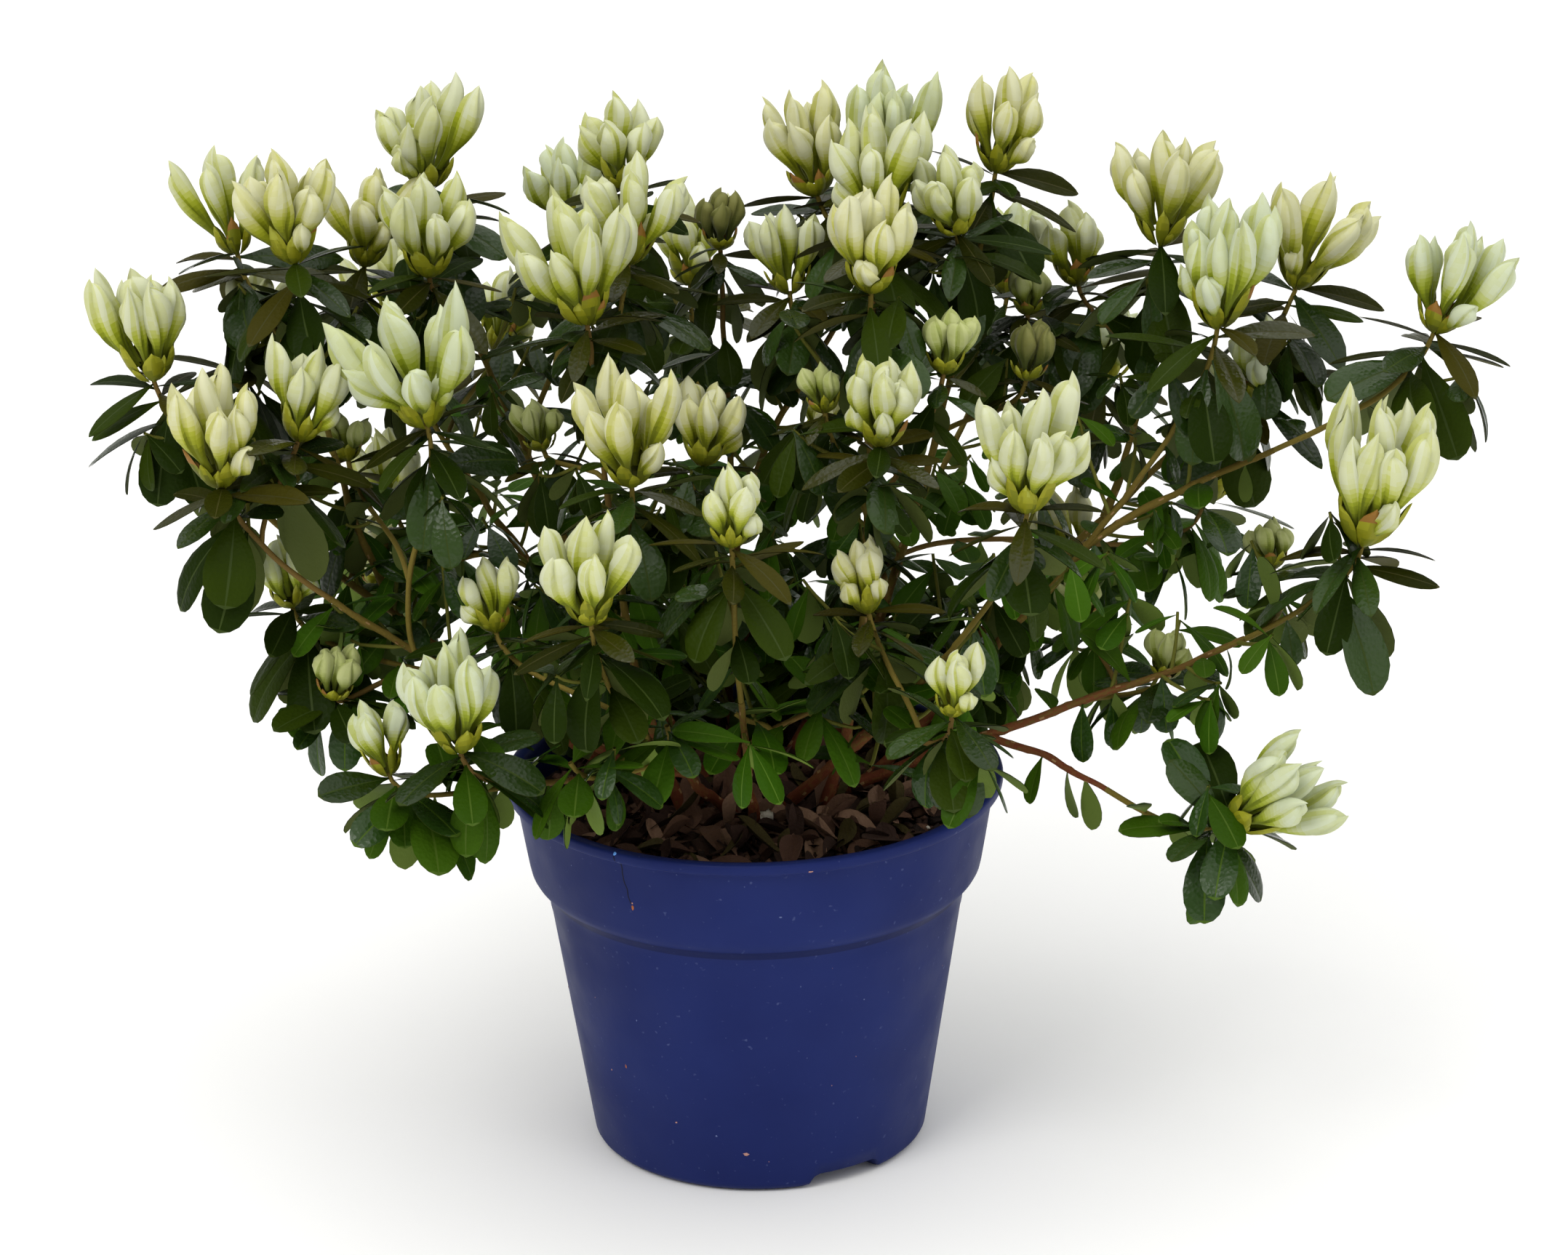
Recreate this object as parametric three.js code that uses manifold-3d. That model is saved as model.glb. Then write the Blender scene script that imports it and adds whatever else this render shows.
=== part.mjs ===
// A potted evergreen azalea in bud: a round nursery pot with its filling of bark mulch, the stems
// that rise from it, the boughs that fork from the stems, and the masses of foliage and buds that
// they carry. Millimetres, +Z up, +Y to the back. Everything is worked out from the pot's axis, and
// then moved so that the origin lies in the middle of the plant's width and depth, on the ground.

import * as THREE from 'three';
import { mergeVertices } from 'three/addons/utils/BufferGeometryUtils.js';
import Module from 'manifold-3d';

const wasm = await Module();
wasm.setup();

// Clearance between two solids that touch in the real plant, and on each side of the plane
// between the spaces of two masses, which are worked out from a few sites on every shoot
const GAP = 0.3;
const FORK_GAP = 0.36;
const SPACE_MARGIN = 0.4;
const SHOOT_SITES = 5;

// Pot
const POT_HEIGHT = 148;
const RIM_RADIUS = 95;
const LIP_HEIGHT = 5;
const COLLAR_TOP_RADIUS = 91.5;
const COLLAR_BOTTOM_RADIUS = 86;
const COLLAR_BOTTOM = 111;
const SHOULDER_BOTTOM = 102;
const SHOULDER_RADIUS = 79.5;
const FOOT_RADIUS = 63;
const FOOT_ROUNDING = 4;
const FOOT_SWELL = 1.5;
const POT_WALL = 2;
const FOOT_RING_WIDTH = 9;
const FLOOR_LIFT = 6;
const DRAIN_SLOT_WIDTH = 26;
const DRAIN_SLOT_FLARE = 3.5;
const DRAIN_SLOT_AZIMUTHS = [301, 121];
const POT_SIDES = 32;

// Mulch that fills the pot
const SOIL_TOP = 132;
const SOIL_CROWN = 3;
const SOIL_FLAT_RADIUS = 41;
const SOIL_SIDES = 24;

// Stems and boughs
const STEM_RADIUS = 2.8;
const BOUGH_RADIUS = 2.1;
const NECK_RADIUS = 1.6;
const TWIG_RADIUS = 1.25;
const FOOT_DEPTH = 3;
const LIMB_SIDES = 6;
const LIMB_STEPS = 4;
const STEM_RING_INNER = 15;
const STEM_RING_OUTER = 33;
const FOOT_SPREAD = 0.3;
const FORK_FOLLOW = 0.35;
const LEAVE_SHARE = 0.36;
const ARRIVE_SHARE = 0.3;
const TURN_UP = 42;
const SIDE_LEAN = 8;
const SIDE_FORK_DEPTH = 12;
const LOWEST_SIDE_FORK = 0.3;
const NECK_CLEAR_SHARE = 0.12;
const MASS_STEM_LENGTH = 85;
const LEAST_NECK = 0.45;
const LINE_STEPS = 48;
const SHOOT_STEPS = 8;
const TWIG_SIDES = 3;
const TWIG_STEP = 30;

// Leaves and buds
const LEAF_LENGTH = 46;
const LEAF_WIDTH = 21;
const LEAF_THICKNESS = 1.2;
const LEAF_WIDEST = 0.6;
const LEAF_DROOP = 0.3;
const WHORL_LEAVES = 6;
const WHORL_TOP = 3;
const WHORL_STEP = 1.8;
const WHORL_SCATTER = 16;
const WHORL_LEAST_TILT = 12;
const WHORL_MOST_TILT = 66;
const TWIG_MOST_TILT = 50;
const WHORL_LEAST_LENGTH = 0.85;
const TWIG_LEAST_LENGTH = 0.75;
const LENGTH_SPREAD = 0.2;
const LEAF_ROLL = 40;
const SIDE_WHORL_LEAVES = 5;
const TWIG_LEAF_STEP = 20;
const TWIG_LEAVES_FROM = 0.25;
const TWIG_LEAVES_SPAN = 0.6;
const LEAST_FUSION = 0.01;
const MOST_CROSSING = 0.07;
const LEAF_TRIES = 9;
const TRY_DROOP = 6;
const TRY_SHRINK = 0.05;
const TRY_SWING = 36;
const STEEPEST_LEAF = 82;
const LEAF_CLEARANCE = 3.6;
const LEAF_FREE_FROM = 3;
const LEAF_OFF_POT = 1.5;
const ROOT_SINK = 0.4;
const TRUSS_HEIGHT = 46;
const TRUSS_RADIUS = 11;
const TRUSS_STOUTNESS = 0.6;
const MOST_TIPS = 4;
const MOST_SIDE_TIPS = 3;
const LEAST_TIPS = 2;
const TRUSS_SCALES = [1, 0.9, 0.8, 0.7, 0.6];
const GOLDEN_ANGLE = 137.5;

// Rings of a truss, from its root to its middle: the level on the ball that it is shaped from, and
// height and radius, as shares of its length and radius, on a bud and in a valley between two
const TRUSS_RINGS = [
  { level: -1, height: -0.09, valleyHeight: -0.09, radius: 0, valleyRadius: 0 },
  { level: -0.5, height: 0.5, valleyHeight: 0.4, radius: 1.08, valleyRadius: 0.72 },
  { level: 0.5, height: 1, valleyHeight: 0.6, radius: 0.5, valleyRadius: 0.5 },
  { level: 1, height: 0.6, valleyHeight: 0.6, radius: 0, valleyRadius: 0 },
];

// The masses of the crown. Each has a leading shoot whose tip is given by its azimuth round the
// pot's axis (0 to the right, 90 to the back), its reach from that axis and its height, and which
// leans from the vertical by a few degrees. It ends in a truss of buds that splay from its middle,
// whose height is given as a share of a full truss's: 0 is a shoot of leaves alone.
// Each side shoot ends in a truss of its own, placed from the leading one by the azimuth in which
// it stands, how far out it is and how far it drops.
// A mass on a stem from the soil has root 'soil', others name the limb that they fork from and
// the share of its length at which they do. The kind is the limb that carries the mass: 'stem',
// 'bough', or 'twig' where the mass's own stem forks from the limb directly.
const CROWN = [
  // name, kind, root, fork, azimuth, reach, height, lean, truss, splay, [turn, spread, drop, truss]...
  ['right', 'stem', 'soil', 0, 0, 175, 323, 4, 1.15, 15],
  ['far_top_right', 'stem', 'soil', 0, 16, 218, 319, 16, 1.05, 28, [223, 21, 39, 0.7]],
  ['top_right', 'stem', 'soil', 0, 36, 118, 364, 12, 0.92, 18, [248, 45, 11, 0.8]],
  ['back_right', 'stem', 'soil', 0, 58, 196, 285, 14, 0.85, 16, [325, 46, 27, 0.75]],
  ['single', 'stem', 'soil', 0, 98, 71, 335, 3, 0.5, 6],
  ['back', 'stem', 'soil', 0, 97, 194, 283, 14, 0.85, 16, [333, 56, 60, 0.6]],
  ['back_left', 'stem', 'soil', 0, 134, 205, 283, 12, 0.85, 16, [37, 50, 22, 0.8]],
  ['top_left', 'stem', 'soil', 0, 153, 134, 364, 4, 0.95, 22, [272, 45, 21, 0.95]],
  ['far_left', 'stem', 'soil', 0, 180, 221, 309, 10, 1, 14, [57, 60, 7, 0.75]],
  ['left', 'stem', 'soil', 0, 197, 200, 287, 8, 1, 16, [38, 34, -10, 0.85]],
  ['centre_left', 'stem', 'soil', 0, 199, 62, 335, 8, 1.1, 22, [68, 40, -11, 0.92], [133, 27, 56, 0.42]],
  ['front_left', 'stem', 'soil', 0, 245, 134, 255, 8, 0.87, 17, [122, 70, 25, 0.6]],
  ['front', 'stem', 'soil', 0, 267, 115, 281, 5, 0.72, 8],
  ['front_right', 'stem', 'soil', 0, 315, 141, 287, 6, 1.1, 20],
  ['centre', 'stem', 'soil', 0, 337, 50, 345, 4, 0.95, 20, [85, 42, -12, 1], [113, 76, 22, 0.72]],
  ['right_low', 'stem', 'soil', 0, 350, 230, 251, 10, 1.25, 12, [115, 66, 31, 0.42]],
  ['upper_left', 'bough', 'far_left', 0.42, 178, 167, 352, 6, 1, 20, [125, 43, 7, 0.9], [60, 46, 14, 0.82]],
  ['low_front_left', 'bough', 'front_left', 0.3, 226, 152, 202, 10, 1.05, 15, [144, 34, 17, 0.66]],
  ['top_centre', 'bough', 'single', 0.42, 54, 93, 357, 4, 1.05, 14, [170, 28, 4, 0.95]],
  ['right_top', 'bough', 'far_top_right', 0.5, 18, 165, 340, 4, 1, 18, [135, 42, 25, 0.7]],
  ['far_right', 'bough', 'right', 0.5, 2, 257, 317, 18, 0.95, 18],
  ['low_front_right', 'bough', 'front_right', 0.3, 300, 144, 219, 8, 0.6, 10, [119, 60, -20, 0.65]],
  ['low_far_right', 'bough', 'right_low', 0.28, 336, 194, 156, 52, 1, 16],
  ['left_mid', 'twig', 'left', 0.5, 203, 127, 306, 14, 1.15, 32, [117, 76, 36, 0.42]],
  ['left_low', 'twig', 'left', 0.38, 187, 173, 226, 10, 0.62, 9, [305, 28, 28, 0.5]],
  ['inner_left', 'twig', 'far_left', 0.5, 167, 131, 242, 6, 0.38, 12, [110, 34, 41, 0.38]],
  ['back_top_left', 'twig', 'top_left', 0.5, 127, 76, 362, 8, 0.85, 22, [115, 50, 30, 0.8]],
  ['mid_left', 'twig', 'centre_left', 0.42, 239, 82, 289, 6, 1.05, 16, [63, 56, 10, 0.72]],
  ['mid_right', 'twig', 'centre', 0.45, 309, 77, 299, 6, 0.8, 12, [121, 39, -2, 0.4], [59, 47, -14, 0.52]],
  ['inner_right', 'twig', 'top_right', 0.5, 11, 107, 297, 8, 0.5, 8, [87, 40, -13, 0.42]],
  ['lower_right', 'twig', 'right_low', 0.42, 356, 156, 188, 12, 0.42, 14, [134, 42, -12, 0.4]],
  ['rosette', 'twig', 'front_left', 0.3, 252, 100, 204, 20, 0, 0, [203, 38, 8, 0]],
  ['inner_front', 'twig', 'front', 0.35, 292, 74, 205, 24, 0, 0, [185, 34, 6, 0]],
  ['back_left_low', 'twig', 'back_left', 0.42, 138, 190, 208, 14, 0.8, 14, [262, 42, 12, 0.7]],
  ['back_right_low', 'twig', 'back_right', 0.42, 32, 212, 215, 16, 0.8, 14, [150, 56, 34, 0.75]],
];

// Colours
const POT_BLUE = 0x262f66;
const MULCH_BROWN = 0x3a2418;
const BARK_BROWN = 0x6a3f2c;
const LEAF_GREEN = 0x2c4220;

// A generator of even random numbers between 0 and 1 that always gives the same row for a seed
function seeded(seed) {
  let state = seed >>> 0;
  return () => {
    state = (state + 0x6d2b79f5) >>> 0;
    let mixed = Math.imul(state ^ (state >>> 15), state | 1);
    mixed ^= mixed + Math.imul(mixed ^ (mixed >>> 7), mixed | 61);
    return ((mixed ^ (mixed >>> 14)) >>> 0) / 4294967296;
  };
}

const radians = THREE.MathUtils.degToRad;
const UP = new THREE.Vector3(0, 0, 1);

function direction(azimuth, elevation) {
  const level = Math.cos(radians(elevation));
  return new THREE.Vector3(
    level * Math.cos(radians(azimuth)),
    level * Math.sin(radians(azimuth)),
    Math.sin(radians(elevation)),
  );
}

// Solids. A geometry becomes a solid once its shared vertices are merged and the faces that
// collapse at a pole are dropped.
function solidOf(geometry) {
  const bare = geometry.clone();
  bare.deleteAttribute('normal');
  bare.deleteAttribute('uv');
  const merged = mergeVertices(bare, 1e-4);
  const index = merged.index.array;
  const faces = [];
  for (let i = 0; i < index.length; i += 3) {
    const [a, b, c] = [index[i], index[i + 1], index[i + 2]];
    if (a !== b && b !== c && a !== c) {
      faces.push(a, b, c);
    }
  }
  return new wasm.Manifold(new wasm.Mesh({
    numProp: 3,
    vertProperties: new Float32Array(merged.attributes.position.array),
    triVerts: new Uint32Array(faces),
  }));
}

// The outer skin of a solid's largest piece: fusing can leave a loose scrap or a sealed hollow
function geometryOf(solid) {
  const pieces = solid.decompose();
  pieces.sort((one, other) => other.volume() - one.volume());
  const mesh = pieces[0].getMesh();
  const geometry = new THREE.BufferGeometry();
  geometry.setAttribute('position', new THREE.BufferAttribute(new Float32Array(mesh.vertProperties), 3));
  geometry.setIndex(new THREE.BufferAttribute(new Uint32Array(mesh.triVerts), 1));
  geometry.computeVertexNormals();
  return geometry;
}

function reshape(geometry, place) {
  const position = geometry.attributes.position;
  const vertex = new THREE.Vector3();
  for (let i = 0; i < position.count; i += 1) {
    vertex.fromBufferAttribute(position, i);
    const moved = place(vertex);
    position.setXYZ(i, moved.x, moved.y, moved.z);
  }
  return geometry;
}

// Paths. A shoot's path is a smooth curve that leaves its root along one direction and arrives
// at its tip along another.
function pathBetween(start, startDirection, end, endDirection) {
  const length = start.distanceTo(end);
  return new THREE.CubicBezierCurve3(
    start,
    start.clone().addScaledVector(startDirection, length * LEAVE_SHARE),
    end.clone().addScaledVector(endDirection, -Math.min(length * ARRIVE_SHARE, TURN_UP)),
    end,
  );
}

function frameAt(curve, share) {
  const chord = curve.v3.clone().sub(curve.v0).normalize();
  const arrival = curve.v3.clone().sub(curve.v2).normalize();
  const reference = new THREE.Vector3().crossVectors(chord, arrival);
  if (reference.length() < 0.05) {
    reference.crossVectors(chord, Math.abs(chord.x) < 0.7 ? new THREE.Vector3(1, 0, 0) : UP);
  }
  const along = curve.getTangent(share);
  const across = reference.addScaledVector(along, -reference.dot(along)).normalize();
  return { along, across, third: new THREE.Vector3().crossVectors(across, along) };
}

function tubeGeometry(curve, from, to, startRadius, endRadius, sides, steps) {
  return reshape(new THREE.CylinderGeometry(endRadius, startRadius, 1, sides, steps), (vertex) => {
    const share = from + (to - from) * (vertex.y + 0.5);
    const { across, third } = frameAt(curve, share);
    return curve.getPoint(share).addScaledVector(across, vertex.x).addScaledVector(third, vertex.z);
  });
}

// Pot: a turned shell whose wall follows the outside, a raised floor and a foot ring with slots
// that widen on both sides to the ground
function potGeometry() {
  const rounding = [0, 30, 60, 90].map((turn) => [
    FOOT_RADIUS - FOOT_ROUNDING + (FOOT_ROUNDING + FOOT_SWELL) * Math.sin(radians(turn)),
    FOOT_ROUNDING * (1 - Math.cos(radians(turn))),
  ]);
  const outside = [
    ...rounding,
    [SHOULDER_RADIUS, SHOULDER_BOTTOM],
    [COLLAR_BOTTOM_RADIUS, COLLAR_BOTTOM],
    [COLLAR_TOP_RADIUS, POT_HEIGHT - LIP_HEIGHT],
    [RIM_RADIUS, POT_HEIGHT - LIP_HEIGHT + 1],
    [RIM_RADIUS, POT_HEIGHT],
  ];
  const inside = [
    [COLLAR_TOP_RADIUS - POT_WALL, POT_HEIGHT],
    [COLLAR_BOTTOM_RADIUS - POT_WALL, COLLAR_BOTTOM],
    [SHOULDER_RADIUS - POT_WALL, SHOULDER_BOTTOM],
    [FOOT_RADIUS - POT_WALL, FLOOR_LIFT + POT_WALL],
    [0, FLOOR_LIFT + POT_WALL],
  ];
  const underside = [
    [0, FLOOR_LIFT],
    [FOOT_RADIUS - FOOT_ROUNDING - FOOT_RING_WIDTH, FLOOR_LIFT],
    [FOOT_RADIUS - FOOT_ROUNDING - FOOT_RING_WIDTH, 0],
  ];
  const profile = [...underside, ...outside, ...inside].map(([x, y]) => new THREE.Vector2(x, y));
  const shell = solidOf(new THREE.LatheGeometry(profile, POT_SIDES).rotateX(Math.PI / 2));
  const slots = DRAIN_SLOT_AZIMUTHS.map((azimuth) => {
    const box = new THREE.BoxGeometry(2 * FOOT_RING_WIDTH, DRAIN_SLOT_WIDTH, 2 * FLOOR_LIFT);
    const slot = reshape(box, (corner) => {
      const below = (FLOOR_LIFT - corner.z) / FLOOR_LIFT;
      return corner.setY(corner.y * (1 + (2 * DRAIN_SLOT_FLARE * below) / DRAIN_SLOT_WIDTH));
    });
    return solidOf(slot.translate(FOOT_RADIUS, 0, 0).rotateZ(radians(azimuth)));
  });
  return geometryOf(slots.reduce((pot, slot) => pot.subtract(slot), shell));
}

function insideRadiusAt(height) {
  if (height > COLLAR_BOTTOM) {
    const share = (height - COLLAR_BOTTOM) / (POT_HEIGHT - COLLAR_BOTTOM);
    return THREE.MathUtils.lerp(COLLAR_BOTTOM_RADIUS, COLLAR_TOP_RADIUS, share) - POT_WALL;
  }
  return SHOULDER_RADIUS - POT_WALL;
}

// Mulch: a plug that follows the inside of the pot, a little higher in the middle
function soilGeometry() {
  const bottom = FLOOR_LIFT + POT_WALL + GAP;
  const inset = 3 * GAP;
  const profile = [
    [0, bottom],
    [FOOT_RADIUS - POT_WALL - inset, bottom],
    [SHOULDER_RADIUS - POT_WALL - inset, SHOULDER_BOTTOM],
    [COLLAR_BOTTOM_RADIUS - POT_WALL - inset, COLLAR_BOTTOM],
    [insideRadiusAt(SOIL_TOP) - inset, SOIL_TOP],
    [SOIL_FLAT_RADIUS, SOIL_TOP + SOIL_CROWN],
    [0, SOIL_TOP + SOIL_CROWN],
  ].map(([x, y]) => new THREE.Vector2(x, y));
  return geometryOf(solidOf(new THREE.LatheGeometry(profile, SOIL_SIDES).rotateX(Math.PI / 2)));
}

// Skeleton: the path of every mass's leading shoot from its root, and of its side shoots
function shootTip(azimuth, reach, height) {
  return direction(azimuth, 0).multiplyScalar(reach).setZ(height);
}

function plantSkeleton() {
  const stems = CROWN.filter(([, kind]) => kind === 'stem').map(([name]) => name);
  const paths = {};
  return CROWN.map((row, order) => {
    const [name, kind, root, fork, azimuth, reach, height, lean, truss, splay, ...sides] = row;
    const tip = shootTip(azimuth, reach, height);
    const axis = direction(azimuth, 90 - lean);
    let start;
    let leaving;
    if (kind === 'stem') {
      const place = stems.indexOf(name);
      const ring = place % 2 ? STEM_RING_INNER : STEM_RING_OUTER;
      start = shootTip(place * (360 / stems.length), ring, SOIL_TOP + SOIL_CROWN - FOOT_DEPTH);
      leaving = tip.clone().sub(start).normalize().lerp(direction(azimuth, 30), FOOT_SPREAD).normalize();
    } else {
      const parent = paths[root];
      start = parent.getPoint(fork);
      leaving = tip.clone().sub(start).normalize().lerp(parent.getTangent(fork), FORK_FOLLOW).normalize();
    }
    const path = pathBetween(start, leaving, tip, axis);
    paths[name] = path;
    const neck = kind === 'twig' ? 0 : Math.max(1 - MASS_STEM_LENGTH / path.getLength(), LEAST_NECK);
    const from = kind === 'twig' ? 0 : neck + GAP / path.getLength();
    const leading = { path, from, foot: NECK_RADIUS, whorl: WHORL_LEAVES, tip, axis, truss, splay };
    const sideShoots = sides.map(([turn, spread, drop, sideTruss]) => {
      const sideTip = tip.clone().addScaledVector(direction(turn, 0), spread);
      sideTip.z -= drop;
      const below = (spread + Math.max(drop, 0) + SIDE_FORK_DEPTH) / path.getLength();
      const forkShare = Math.max(1 - below, neck + (1 - neck) * NECK_CLEAR_SHARE, LOWEST_SIDE_FORK);
      const forkPoint = path.getPoint(forkShare);
      const out = sideTip.clone().sub(forkPoint).normalize();
      out.lerp(path.getTangent(forkShare), FORK_FOLLOW).normalize();
      const sideAxis = direction(turn, 90 - lean - SIDE_LEAN);
      return {
        path: pathBetween(forkPoint, out, sideTip, sideAxis),
        from: 0,
        foot: TWIG_RADIUS,
        whorl: SIDE_WHORL_LEAVES,
        tip: sideTip,
        axis: sideAxis,
        truss: sideTruss,
        splay,
      };
    });
    return { name, kind, root, order, path, neck, shoots: [leading, ...sideShoots] };
  });
}

const skeleton = plantSkeleton();

// Limbs: the part of a leading path below the neck, as one tapering piece
const limbs = skeleton.filter(({ kind }) => kind !== 'twig').map((mass) => ({
  name: `${mass.kind}_${mass.name}`,
  path: mass.path,
  end: mass.neck,
  parent: mass.root,
  mass: mass.name,
  foot: mass.kind === 'stem' ? STEM_RADIUS : BOUGH_RADIUS,
}));

function limbSolid(limb, extra) {
  const { path, end, foot } = limb;
  return solidOf(tubeGeometry(path, 0, end, foot + extra, NECK_RADIUS + extra, LIMB_SIDES, LIMB_STEPS));
}

function inflatedLimb(massName) {
  return limbSolid(limbs.find(({ mass }) => mass === massName), FORK_GAP);
}

// Spaces: every mass owns what lies nearer to points along its own shoots than to any point of
// another mass's shoots. A leaf, bud or twig is kept only where it lies in that space.
function sitesOf(mass) {
  const sites = [];
  for (const shoot of mass.shoots) {
    for (let i = 1; i <= SHOOT_SITES; i += 1) {
      sites.push(shoot.path.getPoint(THREE.MathUtils.lerp(shoot.from, 1, i / SHOOT_SITES)));
    }
    sites.push(shoot.tip.clone().addScaledVector(shoot.axis, (shoot.truss * TRUSS_HEIGHT) / 2));
  }
  return sites;
}

for (const mass of skeleton) {
  mass.sites = sitesOf(mass);
}

function nearest(point, sites) {
  const distances = sites.map((site) => site.distanceToSquared(point));
  return sites[distances.indexOf(Math.min(...distances))];
}

function inOwnSpace(mass, corners) {
  const middle = new THREE.Box3().setFromPoints(corners).getCenter(new THREE.Vector3());
  const own = nearest(middle, mass.sites);
  return skeleton.filter((other) => other !== mass).every((other) => other.sites.every((site) => {
    const across = site.clone().sub(own);
    const distance = across.length();
    across.normalize();
    return corners.every((corner) => corner.clone().sub(own).dot(across) < distance / 2 - SPACE_MARGIN);
  }));
}

function segmentDistance(a, b, c, d) {
  const u = b.clone().sub(a);
  const v = d.clone().sub(c);
  const w = a.clone().sub(c);
  const [uu, uv, vv, uw, vw] = [u.dot(u), u.dot(v), v.dot(v), u.dot(w), v.dot(w)];
  const fall = uu * vv - uv * uv;
  const clamp = (value) => THREE.MathUtils.clamp(value, 0, 1);
  let s = fall > 1e-9 ? clamp((uv * vw - vv * uw) / fall) : 0;
  const t = clamp((uv * s + vw) / vv);
  s = clamp((uv * t - uw) / uu);
  return a.clone().addScaledVector(u, s).distanceTo(c.clone().addScaledVector(v, t));
}

for (const limb of limbs) {
  limb.line = limb.path.getPoints(LINE_STEPS).slice(0, Math.ceil(LINE_STEPS * limb.end) + 1);
}

function clearOfLimbs(segments, clearance) {
  return limbs.every((limb) => limb.line.slice(1).every((point, i) => (
    segments.every(([a, b]) => segmentDistance(a, b, limb.line[i], point) > limb.foot + clearance)
  )));
}

function clearOfPot(corners) {
  const low = corners.some(({ z }) => z < POT_HEIGHT + LEAF_OFF_POT);
  const radius = ({ x, y }) => Math.hypot(x, y);
  const outside = corners.every((corner) => radius(corner) > RIM_RADIUS + LEAF_OFF_POT);
  const opening = COLLAR_BOTTOM_RADIUS - POT_WALL;
  const within = corners.every((corner) => radius(corner) < opening - LEAF_OFF_POT)
    && corners.every(({ z }) => z > SOIL_TOP + SOIL_CROWN + LEAF_OFF_POT);
  return !low || outside || within;
}

// Leaf: a thin kite with a raised midrib, widest beyond its middle, that bends down past it
function leafCorners(root, along, face, length) {
  const across = new THREE.Vector3().crossVectors(along, face).normalize();
  const waist = root.clone().addScaledVector(along, length * LEAF_WIDEST);
  const drooping = along.clone().addScaledVector(face, -LEAF_DROOP).normalize();
  const halfWidth = (LEAF_WIDTH / 2) * (length / LEAF_LENGTH);
  return {
    root,
    left: waist.clone().addScaledVector(across, -halfWidth),
    right: waist.clone().addScaledVector(across, halfWidth),
    tip: waist.clone().addScaledVector(drooping, length * (1 - LEAF_WIDEST)),
    rib: waist.clone().addScaledVector(face, LEAF_THICKNESS),
  };
}

function leafSolid({ root, left, right, tip, rib }) {
  const geometry = new THREE.BufferGeometry().setFromPoints([root, left, right, tip, rib]);
  geometry.setIndex([0, 2, 4, 2, 3, 4, 3, 1, 4, 1, 0, 4, 0, 1, 2, 1, 3, 2]);
  return solidOf(geometry);
}

// Truss: one closed cup of pointed buds, narrow where it sits on the shoot, and stouter for its
// height where it is small. Odd corners of its rings are the valleys between the buds.
function trussRadius({ truss }, scale) {
  return TRUSS_RADIUS * truss ** TRUSS_STOUTNESS * scale;
}

function trussGeometry(shoot, tips, start, scale) {
  const swing = 0.5 * Math.sin(radians(shoot.splay));
  const tall = TRUSS_HEIGHT * shoot.truss * scale;
  const geometry = new THREE.SphereGeometry(1, 2 * tips, 3);
  return reshape(geometry, ({ x, y, z }) => {
    const turn = Math.atan2(-z, x);
    const valley = (1 - Math.cos(tips * turn)) / 2;
    const ring = TRUSS_RINGS.find(({ level }) => Math.abs(level - y) < 0.2);
    const rise = THREE.MathUtils.lerp(ring.height, ring.valleyHeight, valley) * tall;
    const girth = THREE.MathUtils.lerp(ring.radius, ring.valleyRadius, valley) * trussRadius(shoot, scale);
    const radius = girth + rise * swing * (1 - valley);
    const outward = roundAxis(shoot.axis, start + THREE.MathUtils.radToDeg(turn));
    const reach = ring.radius === 0 ? 0 : radius;
    return shoot.tip.clone().addScaledVector(shoot.axis, rise).addScaledVector(outward, reach);
  });
}

function sidewaysFrom(axis) {
  const reference = Math.abs(axis.x) < 0.8 ? new THREE.Vector3(1, 0, 0) : UP;
  const one = new THREE.Vector3().crossVectors(axis, reference).normalize();
  return [one, new THREE.Vector3().crossVectors(axis, one)];
}

function roundAxis(axis, turn) {
  const [one, other] = sidewaysFrom(axis);
  return one.multiplyScalar(Math.cos(radians(turn))).addScaledVector(other, Math.sin(radians(turn)));
}

// One leaf at a place. It droops more and is shorter with every try that would leave the space,
// touch a limb or the pot, or cross what the mass has grown so far, and is left out after the last.
function withLeaf(mass, grown, root, outward, tilt, length, draw) {
  for (let attempt = 0; attempt < LEAF_TRIES; attempt += 1) {
    const fall = radians(Math.min(tilt + attempt * TRY_DROOP, STEEPEST_LEAF));
    const size = length * (1 - attempt * TRY_SHRINK);
    const swing = radians(attempt * TRY_SWING * (draw() - 0.5));
    const along = outward.clone().applyAxisAngle(UP, swing).multiplyScalar(Math.cos(fall));
    along.addScaledVector(UP, -Math.sin(fall)).normalize();
    const face = UP.clone().addScaledVector(along, -UP.dot(along)).normalize();
    face.applyAxisAngle(along, radians(LEAF_ROLL * (draw() - 0.5)));
    const corners = leafCorners(root.clone().addScaledVector(along, -ROOT_SINK), along, face, size);
    const free = root.clone().addScaledVector(along, LEAF_FREE_FROM);
    const outline = [
      [free, corners.tip],
      [free, corners.left],
      [free, corners.right],
      [corners.left, corners.tip],
      [corners.right, corners.tip],
    ];
    const points = Object.values(corners);
    if (inOwnSpace(mass, points) && clearOfLimbs(outline, LEAF_CLEARANCE) && clearOfPot(points)) {
      const leaf = leafSolid(corners);
      const shared = leaf.intersect(grown).volume();
      if (shared > LEAST_FUSION && shared < MOST_CROSSING) {
        return grown.add(leaf);
      }
    }
  }
  return grown;
}

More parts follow.
